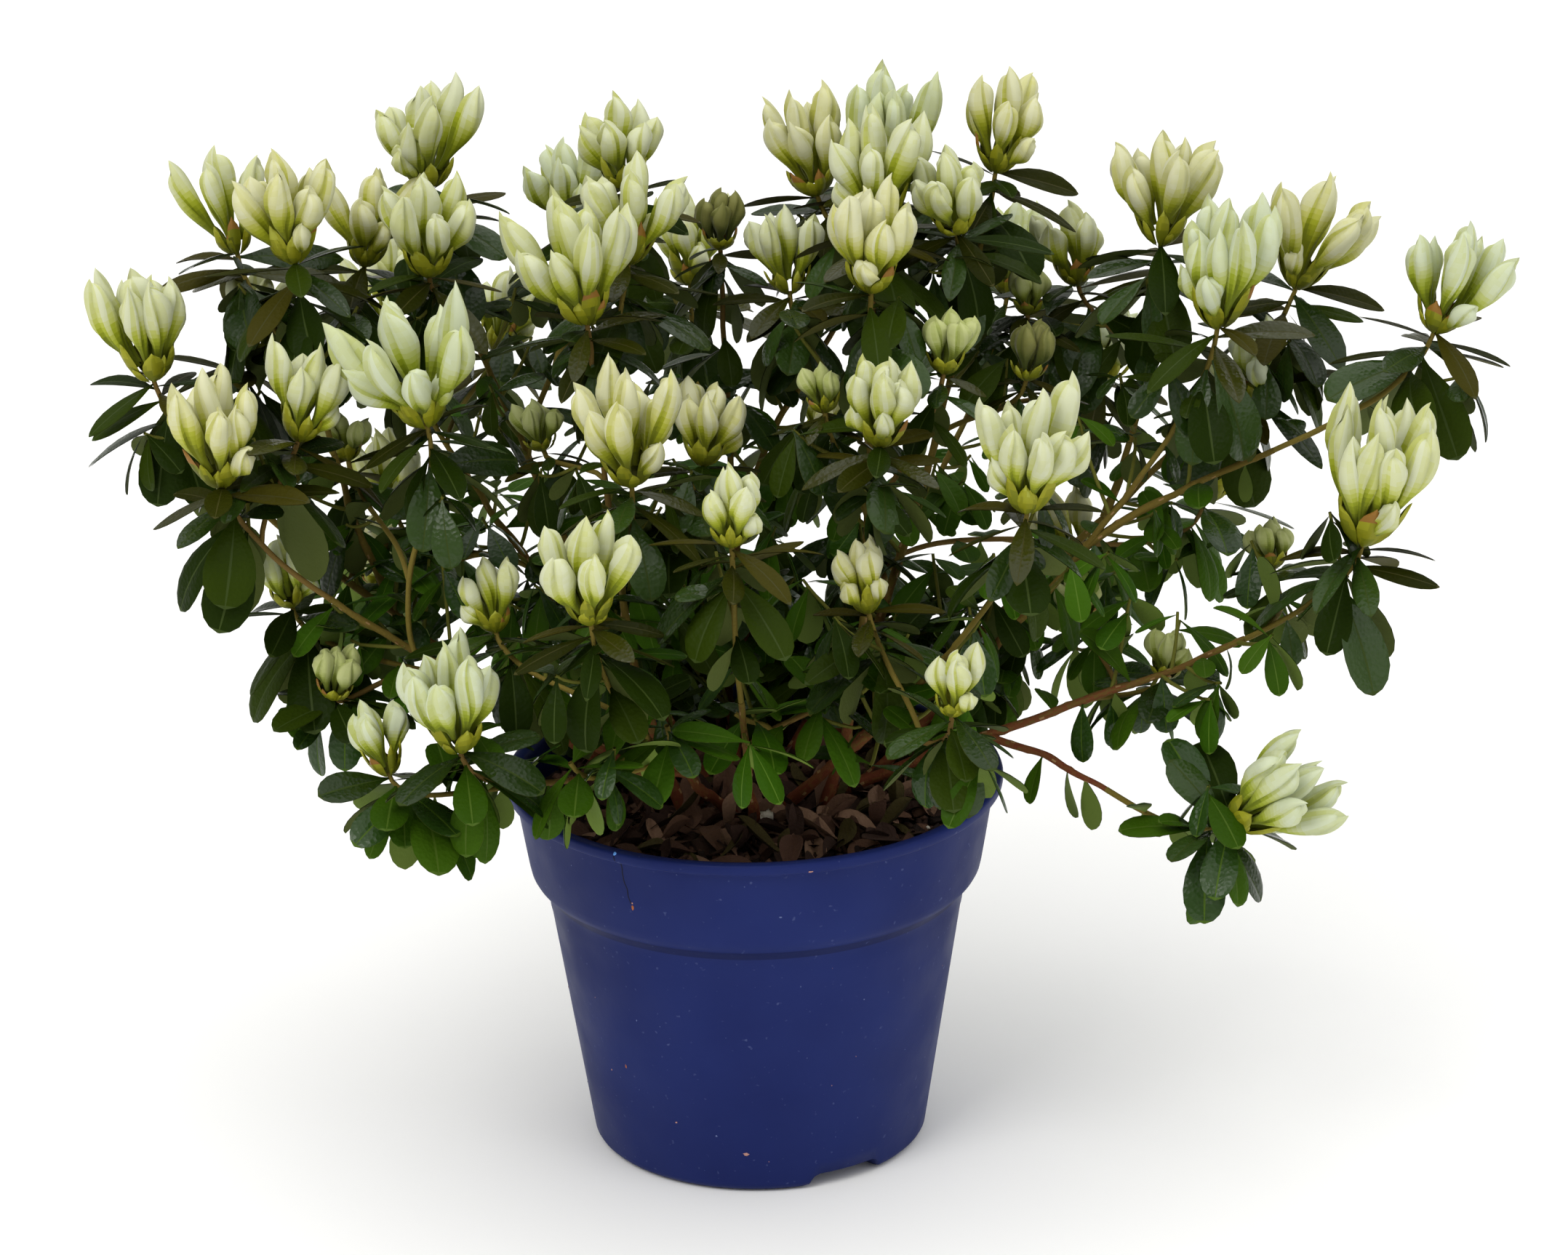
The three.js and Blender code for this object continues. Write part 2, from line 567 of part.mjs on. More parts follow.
// A truss, made smaller where it would leave the space or touch a limb
function trussPieces(mass, shoot, draw) {
  const start = draw() * 360;
  const most = shoot === mass.shoots[0] ? MOST_TIPS : MOST_SIDE_TIPS;
  const tips = THREE.MathUtils.clamp(Math.round(MOST_TIPS * shoot.truss), LEAST_TIPS, most);
  for (const scale of shoot.truss > 0 ? TRUSS_SCALES : []) {
    const geometry = trussGeometry(shoot, tips, start, scale);
    const position = geometry.attributes.position;
    const points = Array.from({ length: position.count }, (_, i) => (
      new THREE.Vector3().fromBufferAttribute(position, i)
    ));
    const top = shoot.tip.clone().addScaledVector(shoot.axis, TRUSS_HEIGHT * shoot.truss * scale);
    if (inOwnSpace(mass, points) && clearOfLimbs([[shoot.tip, top]], trussRadius(shoot, scale))) {
      return [solidOf(geometry)];
    }
  }
  return [];
}

// The leaves of a shoot: a whorl close under its tip, and one after another along its twig
function withLeaves(mass, shoot, grown, draw) {
  let leafy = grown;
  const start = draw() * 360;
  const tipSpeed = 3 * shoot.path.v2.distanceTo(shoot.tip);
  for (let k = 0; k < shoot.whorl; k += 1) {
    const root = pointOnTwig(shoot, 1 - (WHORL_TOP + WHORL_STEP * k) / tipSpeed);
    const outward = roundAxis(shoot.axis, start + k * GOLDEN_ANGLE + WHORL_SCATTER * (draw() - 0.5));
    const tilt = THREE.MathUtils.lerp(WHORL_LEAST_TILT, WHORL_MOST_TILT, draw());
    const length = LEAF_LENGTH * (WHORL_LEAST_LENGTH + LENGTH_SPREAD * draw());
    leafy = withLeaf(mass, leafy, root, outward, tilt, length, draw);
  }
  const twigLeaves = Math.round((shoot.path.getLength() * (1 - shoot.from)) / TWIG_LEAF_STEP);
  for (let k = 0; k < twigLeaves; k += 1) {
    const place = TWIG_LEAVES_FROM + (TWIG_LEAVES_SPAN * (k + draw())) / twigLeaves;
    const share = THREE.MathUtils.lerp(shoot.from, 1, place);
    const outward = roundAxis(shoot.path.getTangent(share), start + k * GOLDEN_ANGLE);
    const tilt = TWIG_MOST_TILT * draw();
    const root = pointOnTwig(shoot, share);
    const length = LEAF_LENGTH * (TWIG_LEAST_LENGTH + LENGTH_SPREAD * draw());
    leafy = withLeaf(mass, leafy, root, outward, tilt, length, draw);
  }
  return leafy;
}

// A twig is straight between its stations, and its leaves are rooted on those straight lines
function twigSteps({ path, from }) {
  return Math.max(2, Math.round((path.getLength() * (1 - from)) / TWIG_STEP));
}

function pointOnTwig(shoot, share) {
  const steps = twigSteps(shoot);
  const place = ((share - shoot.from) / (1 - shoot.from)) * steps;
  const index = Math.min(Math.floor(place), steps - 1);
  const [before, after] = [index, index + 1].map((station) => (
    shoot.path.getPoint(THREE.MathUtils.lerp(shoot.from, 1, station / steps))
  ));
  return before.lerp(after, place - index);
}

function twigSolid(shoot) {
  const { path, from, foot } = shoot;
  return solidOf(tubeGeometry(path, from, 1, foot, TWIG_RADIUS, TWIG_SIDES, twigSteps(shoot)));
}

// A side shoot is kept where its twig stays in the mass's own space, clear of every limb
function isKept(mass, shoot) {
  const points = shoot.path.getPoints(SHOOT_STEPS).slice(2);
  const segments = points.slice(1).map((point, i) => [points[i], point]);
  const inSpace = segments.every((segment) => inOwnSpace(mass, segment));
  return inSpace && clearOfLimbs(segments, TWIG_RADIUS + GAP);
}

function massGeometry(mass) {
  const draw = seeded(mass.order + 1);
  const [leading, ...sides] = mass.shoots;
  const shoots = [leading, ...sides.filter((side) => isKept(mass, side))];
  const woody = shoots.flatMap((shoot) => [twigSolid(shoot), ...trussPieces(mass, shoot, draw)]);
  let grown = wasm.Manifold.union(woody);
  if (mass.kind === 'twig') {
    grown = grown.subtract(inflatedLimb(mass.root));
  }
  for (const shoot of shoots) {
    grown = withLeaves(mass, shoot, grown, draw);
  }
  return geometryOf(grown);
}

// A stem is cut flat where it meets the mulch, and a bough where it meets the limb it forks from
function limbGeometry(limb) {
  const ground = new THREE.BoxGeometry(2 * RIM_RADIUS, 2 * RIM_RADIUS, POT_HEIGHT);
  ground.translate(0, 0, SOIL_TOP + SOIL_CROWN + GAP - POT_HEIGHT / 2);
  const carrier = limb.parent === 'soil' ? solidOf(ground) : inflatedLimb(limb.parent);
  return geometryOf(limbSolid(limb, 0).subtract(carrier));
}

// The plant in its pot
const plant = new THREE.Group();

function addNode(name, geometry, color, roughness) {
  const mesh = new THREE.Mesh(geometry, new THREE.MeshStandardMaterial({ color, roughness, metalness: 0 }));
  mesh.name = name;
  plant.add(mesh);
}

addNode('pot', potGeometry(), POT_BLUE, 0.45);
addNode('mulch', soilGeometry(), MULCH_BROWN, 0.95);
for (const limb of limbs) {
  addNode(limb.name, limbGeometry(limb), BARK_BROWN, 0.8);
}
for (const mass of skeleton) {
  addNode(`mass_${mass.name}`, massGeometry(mass), LEAF_GREEN, 0.6);
}

const middle = new THREE.Box3().setFromObject(plant).getCenter(new THREE.Vector3());
plant.position.set(-middle.x, -middle.y, 0);

const group = new THREE.Group();
group.add(plant);

export default group;
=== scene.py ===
import math
from collections import namedtuple

import bpy
import numpy as np
from mathutils import Matrix, Vector


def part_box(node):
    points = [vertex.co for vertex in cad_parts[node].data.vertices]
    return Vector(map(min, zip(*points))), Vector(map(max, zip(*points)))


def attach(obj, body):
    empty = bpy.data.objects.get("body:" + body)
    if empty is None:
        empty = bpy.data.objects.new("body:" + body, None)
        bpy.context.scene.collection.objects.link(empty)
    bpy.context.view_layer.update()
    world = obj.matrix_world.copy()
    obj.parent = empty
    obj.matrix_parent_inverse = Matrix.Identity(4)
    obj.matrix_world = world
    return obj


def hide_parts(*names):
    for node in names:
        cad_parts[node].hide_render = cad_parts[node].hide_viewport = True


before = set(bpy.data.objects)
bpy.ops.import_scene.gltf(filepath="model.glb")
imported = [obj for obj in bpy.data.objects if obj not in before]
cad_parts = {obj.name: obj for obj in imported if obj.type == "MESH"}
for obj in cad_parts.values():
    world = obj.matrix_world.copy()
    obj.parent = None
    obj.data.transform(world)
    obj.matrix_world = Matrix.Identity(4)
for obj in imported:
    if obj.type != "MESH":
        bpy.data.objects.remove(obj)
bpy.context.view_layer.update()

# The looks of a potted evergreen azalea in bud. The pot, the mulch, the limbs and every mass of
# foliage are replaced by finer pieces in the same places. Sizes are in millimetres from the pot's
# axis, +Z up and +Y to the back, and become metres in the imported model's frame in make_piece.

POT_LOW, POT_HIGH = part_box("pot")
AXIS_X = (POT_LOW[0] + POT_HIGH[0]) / 2
AXIS_Y = (POT_LOW[1] + POT_HIGH[1]) / 2
METRES = 0.001
UP = np.array([0, 0, 1.0])
GOLDEN_ANGLE = 137.5
SEEDS = {"marks": 5, "mulch": 11, "limbs": 23, "foliage": 31, "buds": 43}

# Pot and mulch
POT_HEIGHT = 148
RIM_RADIUS = 95
COLLAR_TOP_RADIUS = 91.5
COLLAR_BOTTOM_RADIUS = 86
SHOULDER_RADIUS = 79.5
BODY_TOP = (78.6, 94.5)
BODY_STEPS = 12
FOOT_RADIUS = 63
FOOT_ROUNDING = 4
FOOT_SWELL = 1.5
POT_WALL = 2
FOOT_RING_WIDTH = 9
FLOOR_LIFT = 6
DRAIN_SLOT_WIDTH = 26
DRAIN_SLOT_FLARE = 3.5
DRAIN_SLOT_AZIMUTHS = [301, 121]
POT_SIDES = 192
SOIL_TOP = 132
SOIL_CROWN = 3
SOIL_CROWN_RADIUS = 40
SOIL_SLOPE_WIDTH = 45

# Limbs and twigs
STEM_RADIUS = 2.7
BOUGH_RADIUS = 1.75
NECK_RADIUS = 1.15
TWIG_RADIUS = 1.05
TWIG_END_RADIUS = 0.95
LIMB_TAPER = 1.5
LIMB_WANDER = 0.9
TWIG_WANDER = 0.5
FOOT_DEPTH = 3
FOOT_RING_INNER = 15
FOOT_RING_OUTER = 33
FOOT_ELEVATION = 30
FOOT_SPREAD = 0.3
FORK_FOLLOW = 0.35
LEAVE_SHARE = 0.36
ARRIVE_SHARE = 0.3
TURN_UP = 42
SIDE_LEAN = 8
SIDE_FORK_DEPTH = 12
LOWEST_SIDE_FORK = 0.3
NECK_CLEAR_SHARE = 0.12
MASS_STEM_LENGTH = 85
LEAST_NECK = 0.45
TRUSS_HEIGHT = 46
SMALL_TRUSS = 0.53

# name, kind, root, fork, azimuth, reach, height, lean, truss, splay, [turn, spread, drop, truss]...
CROWN = [
    ["right", "stem", "soil", 0, 0, 175, 323, 4, 1.15, 15],
    ["far_top_right", "stem", "soil", 0, 16, 218, 319, 16, 1.05, 28, [223, 21, 39, 0.7]],
    ["top_right", "stem", "soil", 0, 36, 118, 364, 12, 0.92, 18, [248, 45, 11, 0.8]],
    ["back_right", "stem", "soil", 0, 58, 196, 285, 14, 0.85, 16, [325, 46, 27, 0.75]],
    ["single", "stem", "soil", 0, 98, 71, 335, 3, 0.5, 6],
    ["back", "stem", "soil", 0, 97, 194, 283, 14, 0.85, 16, [333, 56, 60, 0.6]],
    ["back_left", "stem", "soil", 0, 134, 205, 283, 12, 0.85, 16, [37, 50, 22, 0.8]],
    ["top_left", "stem", "soil", 0, 153, 134, 364, 4, 0.95, 22, [272, 45, 21, 0.95]],
    ["far_left", "stem", "soil", 0, 180, 221, 309, 10, 1, 14, [57, 60, 7, 0.75]],
    ["left", "stem", "soil", 0, 197, 200, 287, 8, 1, 16, [38, 34, -10, 0.85]],
    ["centre_left", "stem", "soil", 0, 199, 62, 335, 8, 1.1, 22, [68, 40, -11, 0.92], [133, 27, 56, 0.42]],
    ["front_left", "stem", "soil", 0, 245, 134, 255, 8, 0.87, 17, [122, 70, 25, 0.6]],
    ["front", "stem", "soil", 0, 267, 115, 281, 5, 0.72, 8],
    ["front_right", "stem", "soil", 0, 315, 141, 287, 6, 1.1, 20],
    ["centre", "stem", "soil", 0, 337, 50, 345, 4, 0.95, 20, [85, 42, -12, 1], [113, 76, 22, 0.72]],
    ["right_low", "stem", "soil", 0, 350, 230, 251, 10, 1.25, 12, [115, 66, 31, 0.42]],
    ["upper_left", "bough", "far_left", 0.42, 178, 167, 352, 6, 1, 20, [125, 43, 7, 0.9],
     [60, 46, 14, 0.82]],
    ["low_front_left", "bough", "front_left", 0.3, 226, 152, 202, 10, 1.05, 15, [144, 34, 17, 0.66]],
    ["top_centre", "bough", "single", 0.42, 54, 93, 357, 4, 1.05, 14, [170, 28, 4, 0.95]],
    ["right_top", "bough", "far_top_right", 0.5, 18, 165, 340, 4, 1, 18, [135, 42, 25, 0.7]],
    ["far_right", "bough", "right", 0.5, 2, 257, 317, 18, 0.95, 18],
    ["low_front_right", "bough", "front_right", 0.3, 300, 144, 219, 8, 0.6, 10, [119, 60, -20, 0.65]],
    ["low_far_right", "bough", "right_low", 0.28, 336, 194, 156, 52, 1, 16],
    ["left_mid", "twig", "left", 0.5, 203, 127, 306, 14, 1.15, 32, [117, 76, 36, 0.42]],
    ["left_low", "twig", "left", 0.38, 187, 173, 226, 10, 0.62, 9, [305, 28, 28, 0.5]],
    ["inner_left", "twig", "far_left", 0.5, 167, 131, 242, 6, 0.38, 12, [110, 34, 41, 0.38]],
    ["back_top_left", "twig", "top_left", 0.5, 127, 76, 362, 8, 0.85, 22, [115, 50, 30, 0.8]],
    ["mid_left", "twig", "centre_left", 0.42, 239, 82, 289, 6, 1.05, 16, [63, 56, 10, 0.72]],
    ["mid_right", "twig", "centre", 0.45, 309, 77, 299, 6, 0.8, 12, [121, 39, -2, 0.4], [59, 47, -14, 0.52]],
    ["inner_right", "twig", "top_right", 0.5, 11, 107, 297, 8, 0.5, 8, [87, 40, -13, 0.42]],
    ["lower_right", "twig", "right_low", 0.42, 356, 156, 188, 12, 0.42, 14, [134, 42, -12, 0.4]],
    ["rosette", "twig", "front_left", 0.3, 252, 100, 204, 20, 0, 0, [203, 38, 8, 0]],
    ["inner_front", "twig", "front", 0.35, 292, 74, 205, 24, 0, 0, [185, 34, 6, 0]],
    ["back_left_low", "twig", "back_left", 0.42, 138, 190, 208, 14, 0.8, 14, [262, 42, 12, 0.7]],
    ["back_right_low", "twig", "back_right", 0.42, 32, 212, 215, 16, 0.8, 14, [150, 56, 34, 0.75]],
]

# Every kind of surface: its roughness, how fine its relief is and how deep in metres, its shine, its
# sheen, and the relief's pattern
FINISHES = {
    "plastic": (0.5, 260, 0.00006, 0.1, 0, "noise"),
    "speck": (0.7, 900, 0.0001, 0.2, 0, "noise"),
    "mulch": (0.85, 900, 0.0006, 0.25, 0, "noise"),
    "bark": (0.75, 1400, 0.00035, 0.1, 0, "noise"),
    "twig": (0.7, 1500, 0.0003, 0.1, 0, "noise"),
    "dull_leaf": (0.45, 600, 0.0002, 0.04, 0, "cells"),
    "glossy_leaf": (0.3, 600, 0.0002, 0.26, 0, "cells"),
    "leaf_rib": (0.5, 900, 0.0001, 0.1, 0, "noise"),
    "leaf_under": (0.7, 700, 0.0002, 0.05, 0, "noise"),
    "bud": (0.6, 420, 0.00012, 0.25, 0.05, "noise"),
    "bract": (0.55, 700, 0.00012, 0.25, 0, "noise"),
}
ROUGHNESS_SPREAD = 0.07


# Directions and paths
def unit(vector):
    return vector / np.linalg.norm(vector, axis=-1, keepdims=True)


def lerp(one, other, share):
    return one + (other - one) * share


def direction(azimuth, elevation):
    a, e = math.radians(azimuth), math.radians(elevation)
    return np.array([math.cos(e) * math.cos(a), math.cos(e) * math.sin(a), math.sin(e)])


def polar(radius, turn, height):
    """Points by their distance from the axis, their azimuth in radians and their height"""
    return np.stack(np.broadcast_arrays(radius * np.cos(turn), radius * np.sin(turn), height), axis=-1)


def around(axis, turn):
    """A direction square to an axis, turned about it"""
    one = unit(np.cross(axis, [1.0, 0, 0] if abs(axis[0]) < 0.8 else UP))
    other = np.cross(axis, one)
    return one * math.cos(math.radians(turn)) + other * math.sin(math.radians(turn))


def shoot_tip(azimuth, reach, height):
    return direction(azimuth, 0) * reach + np.array([0, 0, height])


class Path:
    """A smooth curve that leaves its start along one direction and arrives at its end along another"""

    def __init__(self, start, leaving, end, arriving):
        length = np.linalg.norm(end - start)
        self.handles = np.array([
            start,
            start + leaving * length * LEAVE_SHARE,
            end - arriving * min(length * ARRIVE_SHARE, TURN_UP),
            end,
        ])
        self.length = np.linalg.norm(np.diff(self.points(np.linspace(0, 1, 101)), axis=0), axis=1).sum()

    def points(self, shares):
        t = np.asarray(shares, dtype=float)[..., None]
        a, b, c, d = self.handles
        return a * (1 - t) ** 3 + 3 * b * t * (1 - t) ** 2 + 3 * c * t**2 * (1 - t) + d * t**3

    def tangents(self, shares):
        t = np.asarray(shares, dtype=float)[..., None]
        a, b, c, d = self.handles
        return unit((b - a) * (1 - t) ** 2 + 2 * (c - b) * t * (1 - t) + (d - c) * t**2)


Shoot = namedtuple("Shoot", "path start foot tip axis truss splay")
Mass = namedtuple("Mass", "name kind path neck shoots")


def forked_path(parent, fork, tip, axis):
    """A path to a tip that leaves its parent at a share of it and follows it a little"""
    start = parent.points(fork)
    return Path(start, unit(lerp(unit(tip - start), parent.tangents(fork), FORK_FOLLOW)), tip, axis)


def stem_path(place, stem_count, azimuth, tip, axis):
    """A stem's path from its foot, one of a double ring of feet in the mulch"""
    ring = FOOT_RING_INNER if place % 2 else FOOT_RING_OUTER
    start = shoot_tip(place * 360 / stem_count, ring, SOIL_TOP + SOIL_CROWN - FOOT_DEPTH)
    leaving = unit(lerp(unit(tip - start), direction(azimuth, FOOT_ELEVATION), FOOT_SPREAD))
    return Path(start, leaving, tip, axis)


def plant_skeleton():
    """The path of every mass's leading shoot from its root, and of its side shoots"""
    stems = [row[0] for row in CROWN if row[1] == "stem"]
    masses = {}
    for name, kind, root, fork, azimuth, reach, height, lean, truss, splay, *sides in CROWN:
        tip, axis = shoot_tip(azimuth, reach, height), direction(azimuth, 90 - lean)
        if kind == "stem":
            path = stem_path(stems.index(name), len(stems), azimuth, tip, axis)
        else:
            path = forked_path(masses[root].path, fork, tip, axis)
        neck = 0 if kind == "twig" else max(1 - MASS_STEM_LENGTH / path.length, LEAST_NECK)
        shoots = [Shoot(path, neck, NECK_RADIUS, tip, axis, truss, splay)]
        for turn, spread, drop, side_truss in sides:
            below = (spread + max(drop, 0) + SIDE_FORK_DEPTH) / path.length
            side_fork = max(1 - below, neck + (1 - neck) * NECK_CLEAR_SHARE, LOWEST_SIDE_FORK)
            side_tip = tip + direction(turn, 0) * spread - np.array([0, 0, drop])
            side_axis = direction(turn, 90 - lean - SIDE_LEAN)
            side_path = forked_path(path, side_fork, side_tip, side_axis)
            shoots.append(Shoot(side_path, 0, TWIG_RADIUS, side_tip, side_axis, side_truss, splay))
        masses[name] = Mass(name, kind, path, neck, shoots)
    return masses


MASSES = plant_skeleton()
LIMBS = [mass for mass in MASSES.values() if mass.kind != "twig"]
SHOOTS = [shoot for mass in MASSES.values() for shoot in mass.shoots]


# Materials
def linear(red, green, blue):
    """A colour given as it shows on a screen, from 0 to 255, as the shader's linear numbers"""
    shown = np.array([red, green, blue]) / 255
    return (*np.where(shown <= 0.04045, shown / 12.92, ((shown + 0.055) / 1.055) ** 2.4), 1.0)


def set_inputs(tree, node, **values):
    """Fills a node's inputs with values or other nodes' outputs; _ stands for a space in a name"""
    for name, value in values.items():
        socket = node.inputs[name.replace("_", " ")]
        if isinstance(value, bpy.types.NodeSocket):
            tree.links.new(value, socket)
        else:
            socket.default_value = value
    return node


def add_node(tree, kind, **values):
    return set_inputs(tree, tree.nodes.new(f"ShaderNode{kind}"), **values)


def plain_material(name, colour, finish):
    """One colour, with fine relief and a varying gloss from patterns in the object's coordinates"""
    roughness, fineness, depth, shine, sheen, pattern = FINISHES[finish]
    material = bpy.data.materials.new(name)
    material.use_nodes = True
    tree = material.node_tree
    place = add_node(tree, "TexCoord").outputs["Object"]
    if pattern == "cells":
        height = add_node(tree, "TexVoronoi", Vector=place, Scale=fineness).outputs["Distance"]
    else:
        height = add_node(tree, "TexNoise", Vector=place, Scale=fineness, Detail=4).outputs["Fac"]
    bump = add_node(tree, "Bump", Height=height, Distance=depth, Strength=1)
    cloud = add_node(tree, "TexNoise", Vector=place, Scale=fineness / 6)
    gloss = add_node(
        tree, "MapRange", Value=cloud.outputs["Fac"], From_Min=0.35, From_Max=0.65,
        To_Min=roughness - ROUGHNESS_SPREAD, To_Max=roughness + ROUGHNESS_SPREAD,
    )
    set_inputs(
        tree, tree.nodes["Principled BSDF"], Base_Color=linear(*colour), Sheen_Weight=sheen,
        Specular_IOR_Level=shine, Normal=bump.outputs["Normal"], Roughness=gloss.outputs["Result"],
    )
    return material


def shades(name, tones, finish):
    """A numbered material of one finish for each tone"""
    return [plain_material(f"{name}_{i}", tone, finish) for i, tone in enumerate(tones)]


def add_object(name, data):
    item = bpy.data.objects.new(name, data)
    bpy.context.scene.collection.objects.link(item)
    return item


# Meshes. All faces are four-sided, and a piece is made of many small grids joined.
def make_piece(name, vertices, quads, materials, looks, replaced=()):
    placed = np.asarray(vertices, dtype=np.float32) * METRES
    placed += np.array([AXIS_X, AXIS_Y, 0], dtype=np.float32)
    quads = np.asarray(quads, dtype=np.int32)
    mesh = bpy.data.meshes.new(name)
    mesh.vertices.add(len(placed))
    mesh.vertices.foreach_set("co", placed.ravel())
    mesh.loops.add(quads.size)
    mesh.loops.foreach_set("vertex_index", quads.ravel())
    mesh.polygons.add(len(quads))
    mesh.polygons.foreach_set("loop_start", np.arange(0, quads.size, 4, dtype=np.int32))
    for material in materials:
        mesh.materials.append(material)
    mesh.polygons.foreach_set("material_index", np.asarray(looks, dtype=np.int32))
    mesh.update(calc_edges=True)
    mesh.shade_smooth()
    piece = add_object(name, mesh)
    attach(piece, "root")
    if replaced:
        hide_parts(*replaced)


def grid_quads(rows, columns, wrap=False):
    """Faces of a grid of vertices stored row by row, whose last column may join its first"""
    here = np.arange(columns if wrap else columns - 1)
    beside = (here + 1) % columns
    corners = np.stack([here, beside, beside + columns, here + columns], axis=1)
    return (corners[None] + columns * np.arange(rows - 1)[:, None, None]).reshape(-1, 4)


def per_grid(rows):
    """The columns of many grids' values, shaped to spread over each grid's rows and lanes"""
    return [np.array(column)[:, None, None] for column in zip(*rows)]


class Sheaf:
    """Small grids of one kind, gathered and then made into joined pieces of a bounded size"""

    MOST_QUADS = 90000
    BLOCK = 400

    def __init__(self, name, materials, slot, replaced=()):
        self.name, self.materials, self.slot, self.replaced = name, materials, slot, replaced
        self.made = 0
        self.empty()

    def empty(self):
        self.vertices, self.quads, self.looks = [], [], []
        self.vertex_count = self.quad_count = 0

    def add(self, vertices, quads, looks):
        """One grid, or many grids of the same build as an array with one more axis in front"""
        vertices = np.asarray(vertices, dtype=np.float32)
        many = vertices[None] if vertices.ndim == 2 else vertices
        looks = np.broadcast_to(looks, (len(many), len(quads)))
        for start in range(0, len(many), self.BLOCK):
            block = many[start:start + self.BLOCK]
            if self.quad_count + len(block) * len(quads) > self.MOST_QUADS:
                self.finish()
            offsets = self.vertex_count + np.arange(len(block)) * many.shape[1]
            self.vertices.append(block.reshape(-1, 3))
            self.quads.append((quads[None] + offsets[:, None, None]).reshape(-1, 4))
            self.looks.append(looks[start:start + self.BLOCK].reshape(-1))
            self.vertex_count += block.shape[0] * block.shape[1]
            self.quad_count += len(block) * len(quads)

    def finish(self):
        """Makes a piece of what is gathered. The first piece is the one that replaces the solids."""
        if not self.quad_count:
            return
        self.made += 1
        make_piece(
            f"{self.name}_{self.made}", np.concatenate(self.vertices), np.concatenate(self.quads),
            self.materials, np.concatenate(self.looks), self.replaced,
        )
        self.replaced = ()
        self.empty()


def tube(points, radii):
    """The vertices of a round tube along points: radii has a row of values for every point"""
    along = unit(np.gradient(points, axis=0))
    across = [unit(np.cross(along[0], [1.0, 0, 0] if abs(along[0][0]) < 0.8 else [0, 1.0, 0]))]
    for step in along[1:]:
        across.append(unit(across[-1] - step * np.dot(across[-1], step)))
    one = np.array(across)
    other = np.cross(along, one)
    turns = np.linspace(0, 2 * np.pi, radii.shape[1], endpoint=False)
    ring = one[:, None] * np.cos(turns)[None, :, None] + other[:, None] * np.sin(turns)[None, :, None]
    return (points[:, None] + ring * radii[..., None]).reshape(-1, 3)


def smooth_noise(shape, reach, draw):
    """Random values between -1 and 1 that change slowly along the first axis"""
    knots = draw.uniform(-1, 1, (max(2, int(shape[0] / reach) + 2), *shape[1:]))
    places = np.linspace(0, len(knots) - 1.001, shape[0])
    low = places.astype(int)
    share = (places - low).reshape(-1, *([1] * (len(shape) - 1)))
    return lerp(knots[low], knots[low + 1], share * share * (3 - 2 * share))


def wandering(points, amount, reach, draw):
    """The same points strayed a little from their smooth curve, but for the first and the last"""
    hold = np.sin(np.pi * np.linspace(0, 1, len(points)))[:, None] ** 0.5
    return points + smooth_noise((len(points), 3), reach, draw) * amount * hold


# Pot: navy moulded plastic with a rolled lip, a stepped collar and a foot ring with drain slots
POT_BLUE = (20, 31, 84)
POT_LIGHT_BLUE = (28, 41, 98)
# Painted shade: a darker blue band on the undercut below the collar, between these heights
PAINTED_SHADE_BLUE = (15, 24, 68)
PAINTED_SHADE_LIGHT_BLUE = (19, 29, 76)
PAINTED_SHADE_HEIGHTS = (103, 108.5)
DUST_BLUE = (78, 88, 132)
# Radius and height from the shoulder, over the collar and the lip, to the inside of the rim
COLLAR_OUTLINE = [
    (79.2, 97), (SHOULDER_RADIUS, 99.5), (79.9, 102), (80.4, 104), (81.4, 106), (83.4, 108),
    (85.2, 109.6), (86.2, 111.4), (86.8, 114), (88, 121), (89.8, 132), (91.4, 141.8), (91.7, 142.9),
    (92.8, 143.3), (94.2, 143.6), (94.8, 144.2), (RIM_RADIUS, 145.2), (RIM_RADIUS, 146.8),
    (94.7, 147.6), (94, POT_HEIGHT), (92.4, POT_HEIGHT), (90.6, 147.7), (89.8, 146.9), (89.2, 145),
]


def pot_profile():
    """Radius and height along the whole wall, from the middle of the floor to the mulch inside"""
    inner = FOOT_RADIUS - FOOT_ROUNDING - FOOT_RING_WIDTH
    underside = [(radius, FLOOR_LIFT) for radius in (0.5, inner * 0.5, inner)]
    ring = [(inner + 0.5, FLOOR_LIFT - 1), (inner + 1, 0)]
    centre, swell = FOOT_RADIUS - FOOT_ROUNDING, FOOT_ROUNDING + FOOT_SWELL
    turns = np.radians(np.linspace(0, 90, 7))
    foot = [(centre + swell * math.sin(t), FOOT_ROUNDING * (1 - math.cos(t))) for t in turns]
    rises = np.arange(1, BODY_STEPS + 1) / BODY_STEPS
    body = [(lerp(foot[-1][0], BODY_TOP[0], k), lerp(foot[-1][1], BODY_TOP[1], k)) for k in rises]
    wall = [
        (lerp(COLLAR_BOTTOM_RADIUS, COLLAR_TOP_RADIUS, share) - POT_WALL, height)
        for share, height in ((0.8, 140), (0.5, SOIL_TOP - 4))
    ]
    return np.array(underside + ring + foot + body + COLLAR_OUTLINE + wall)


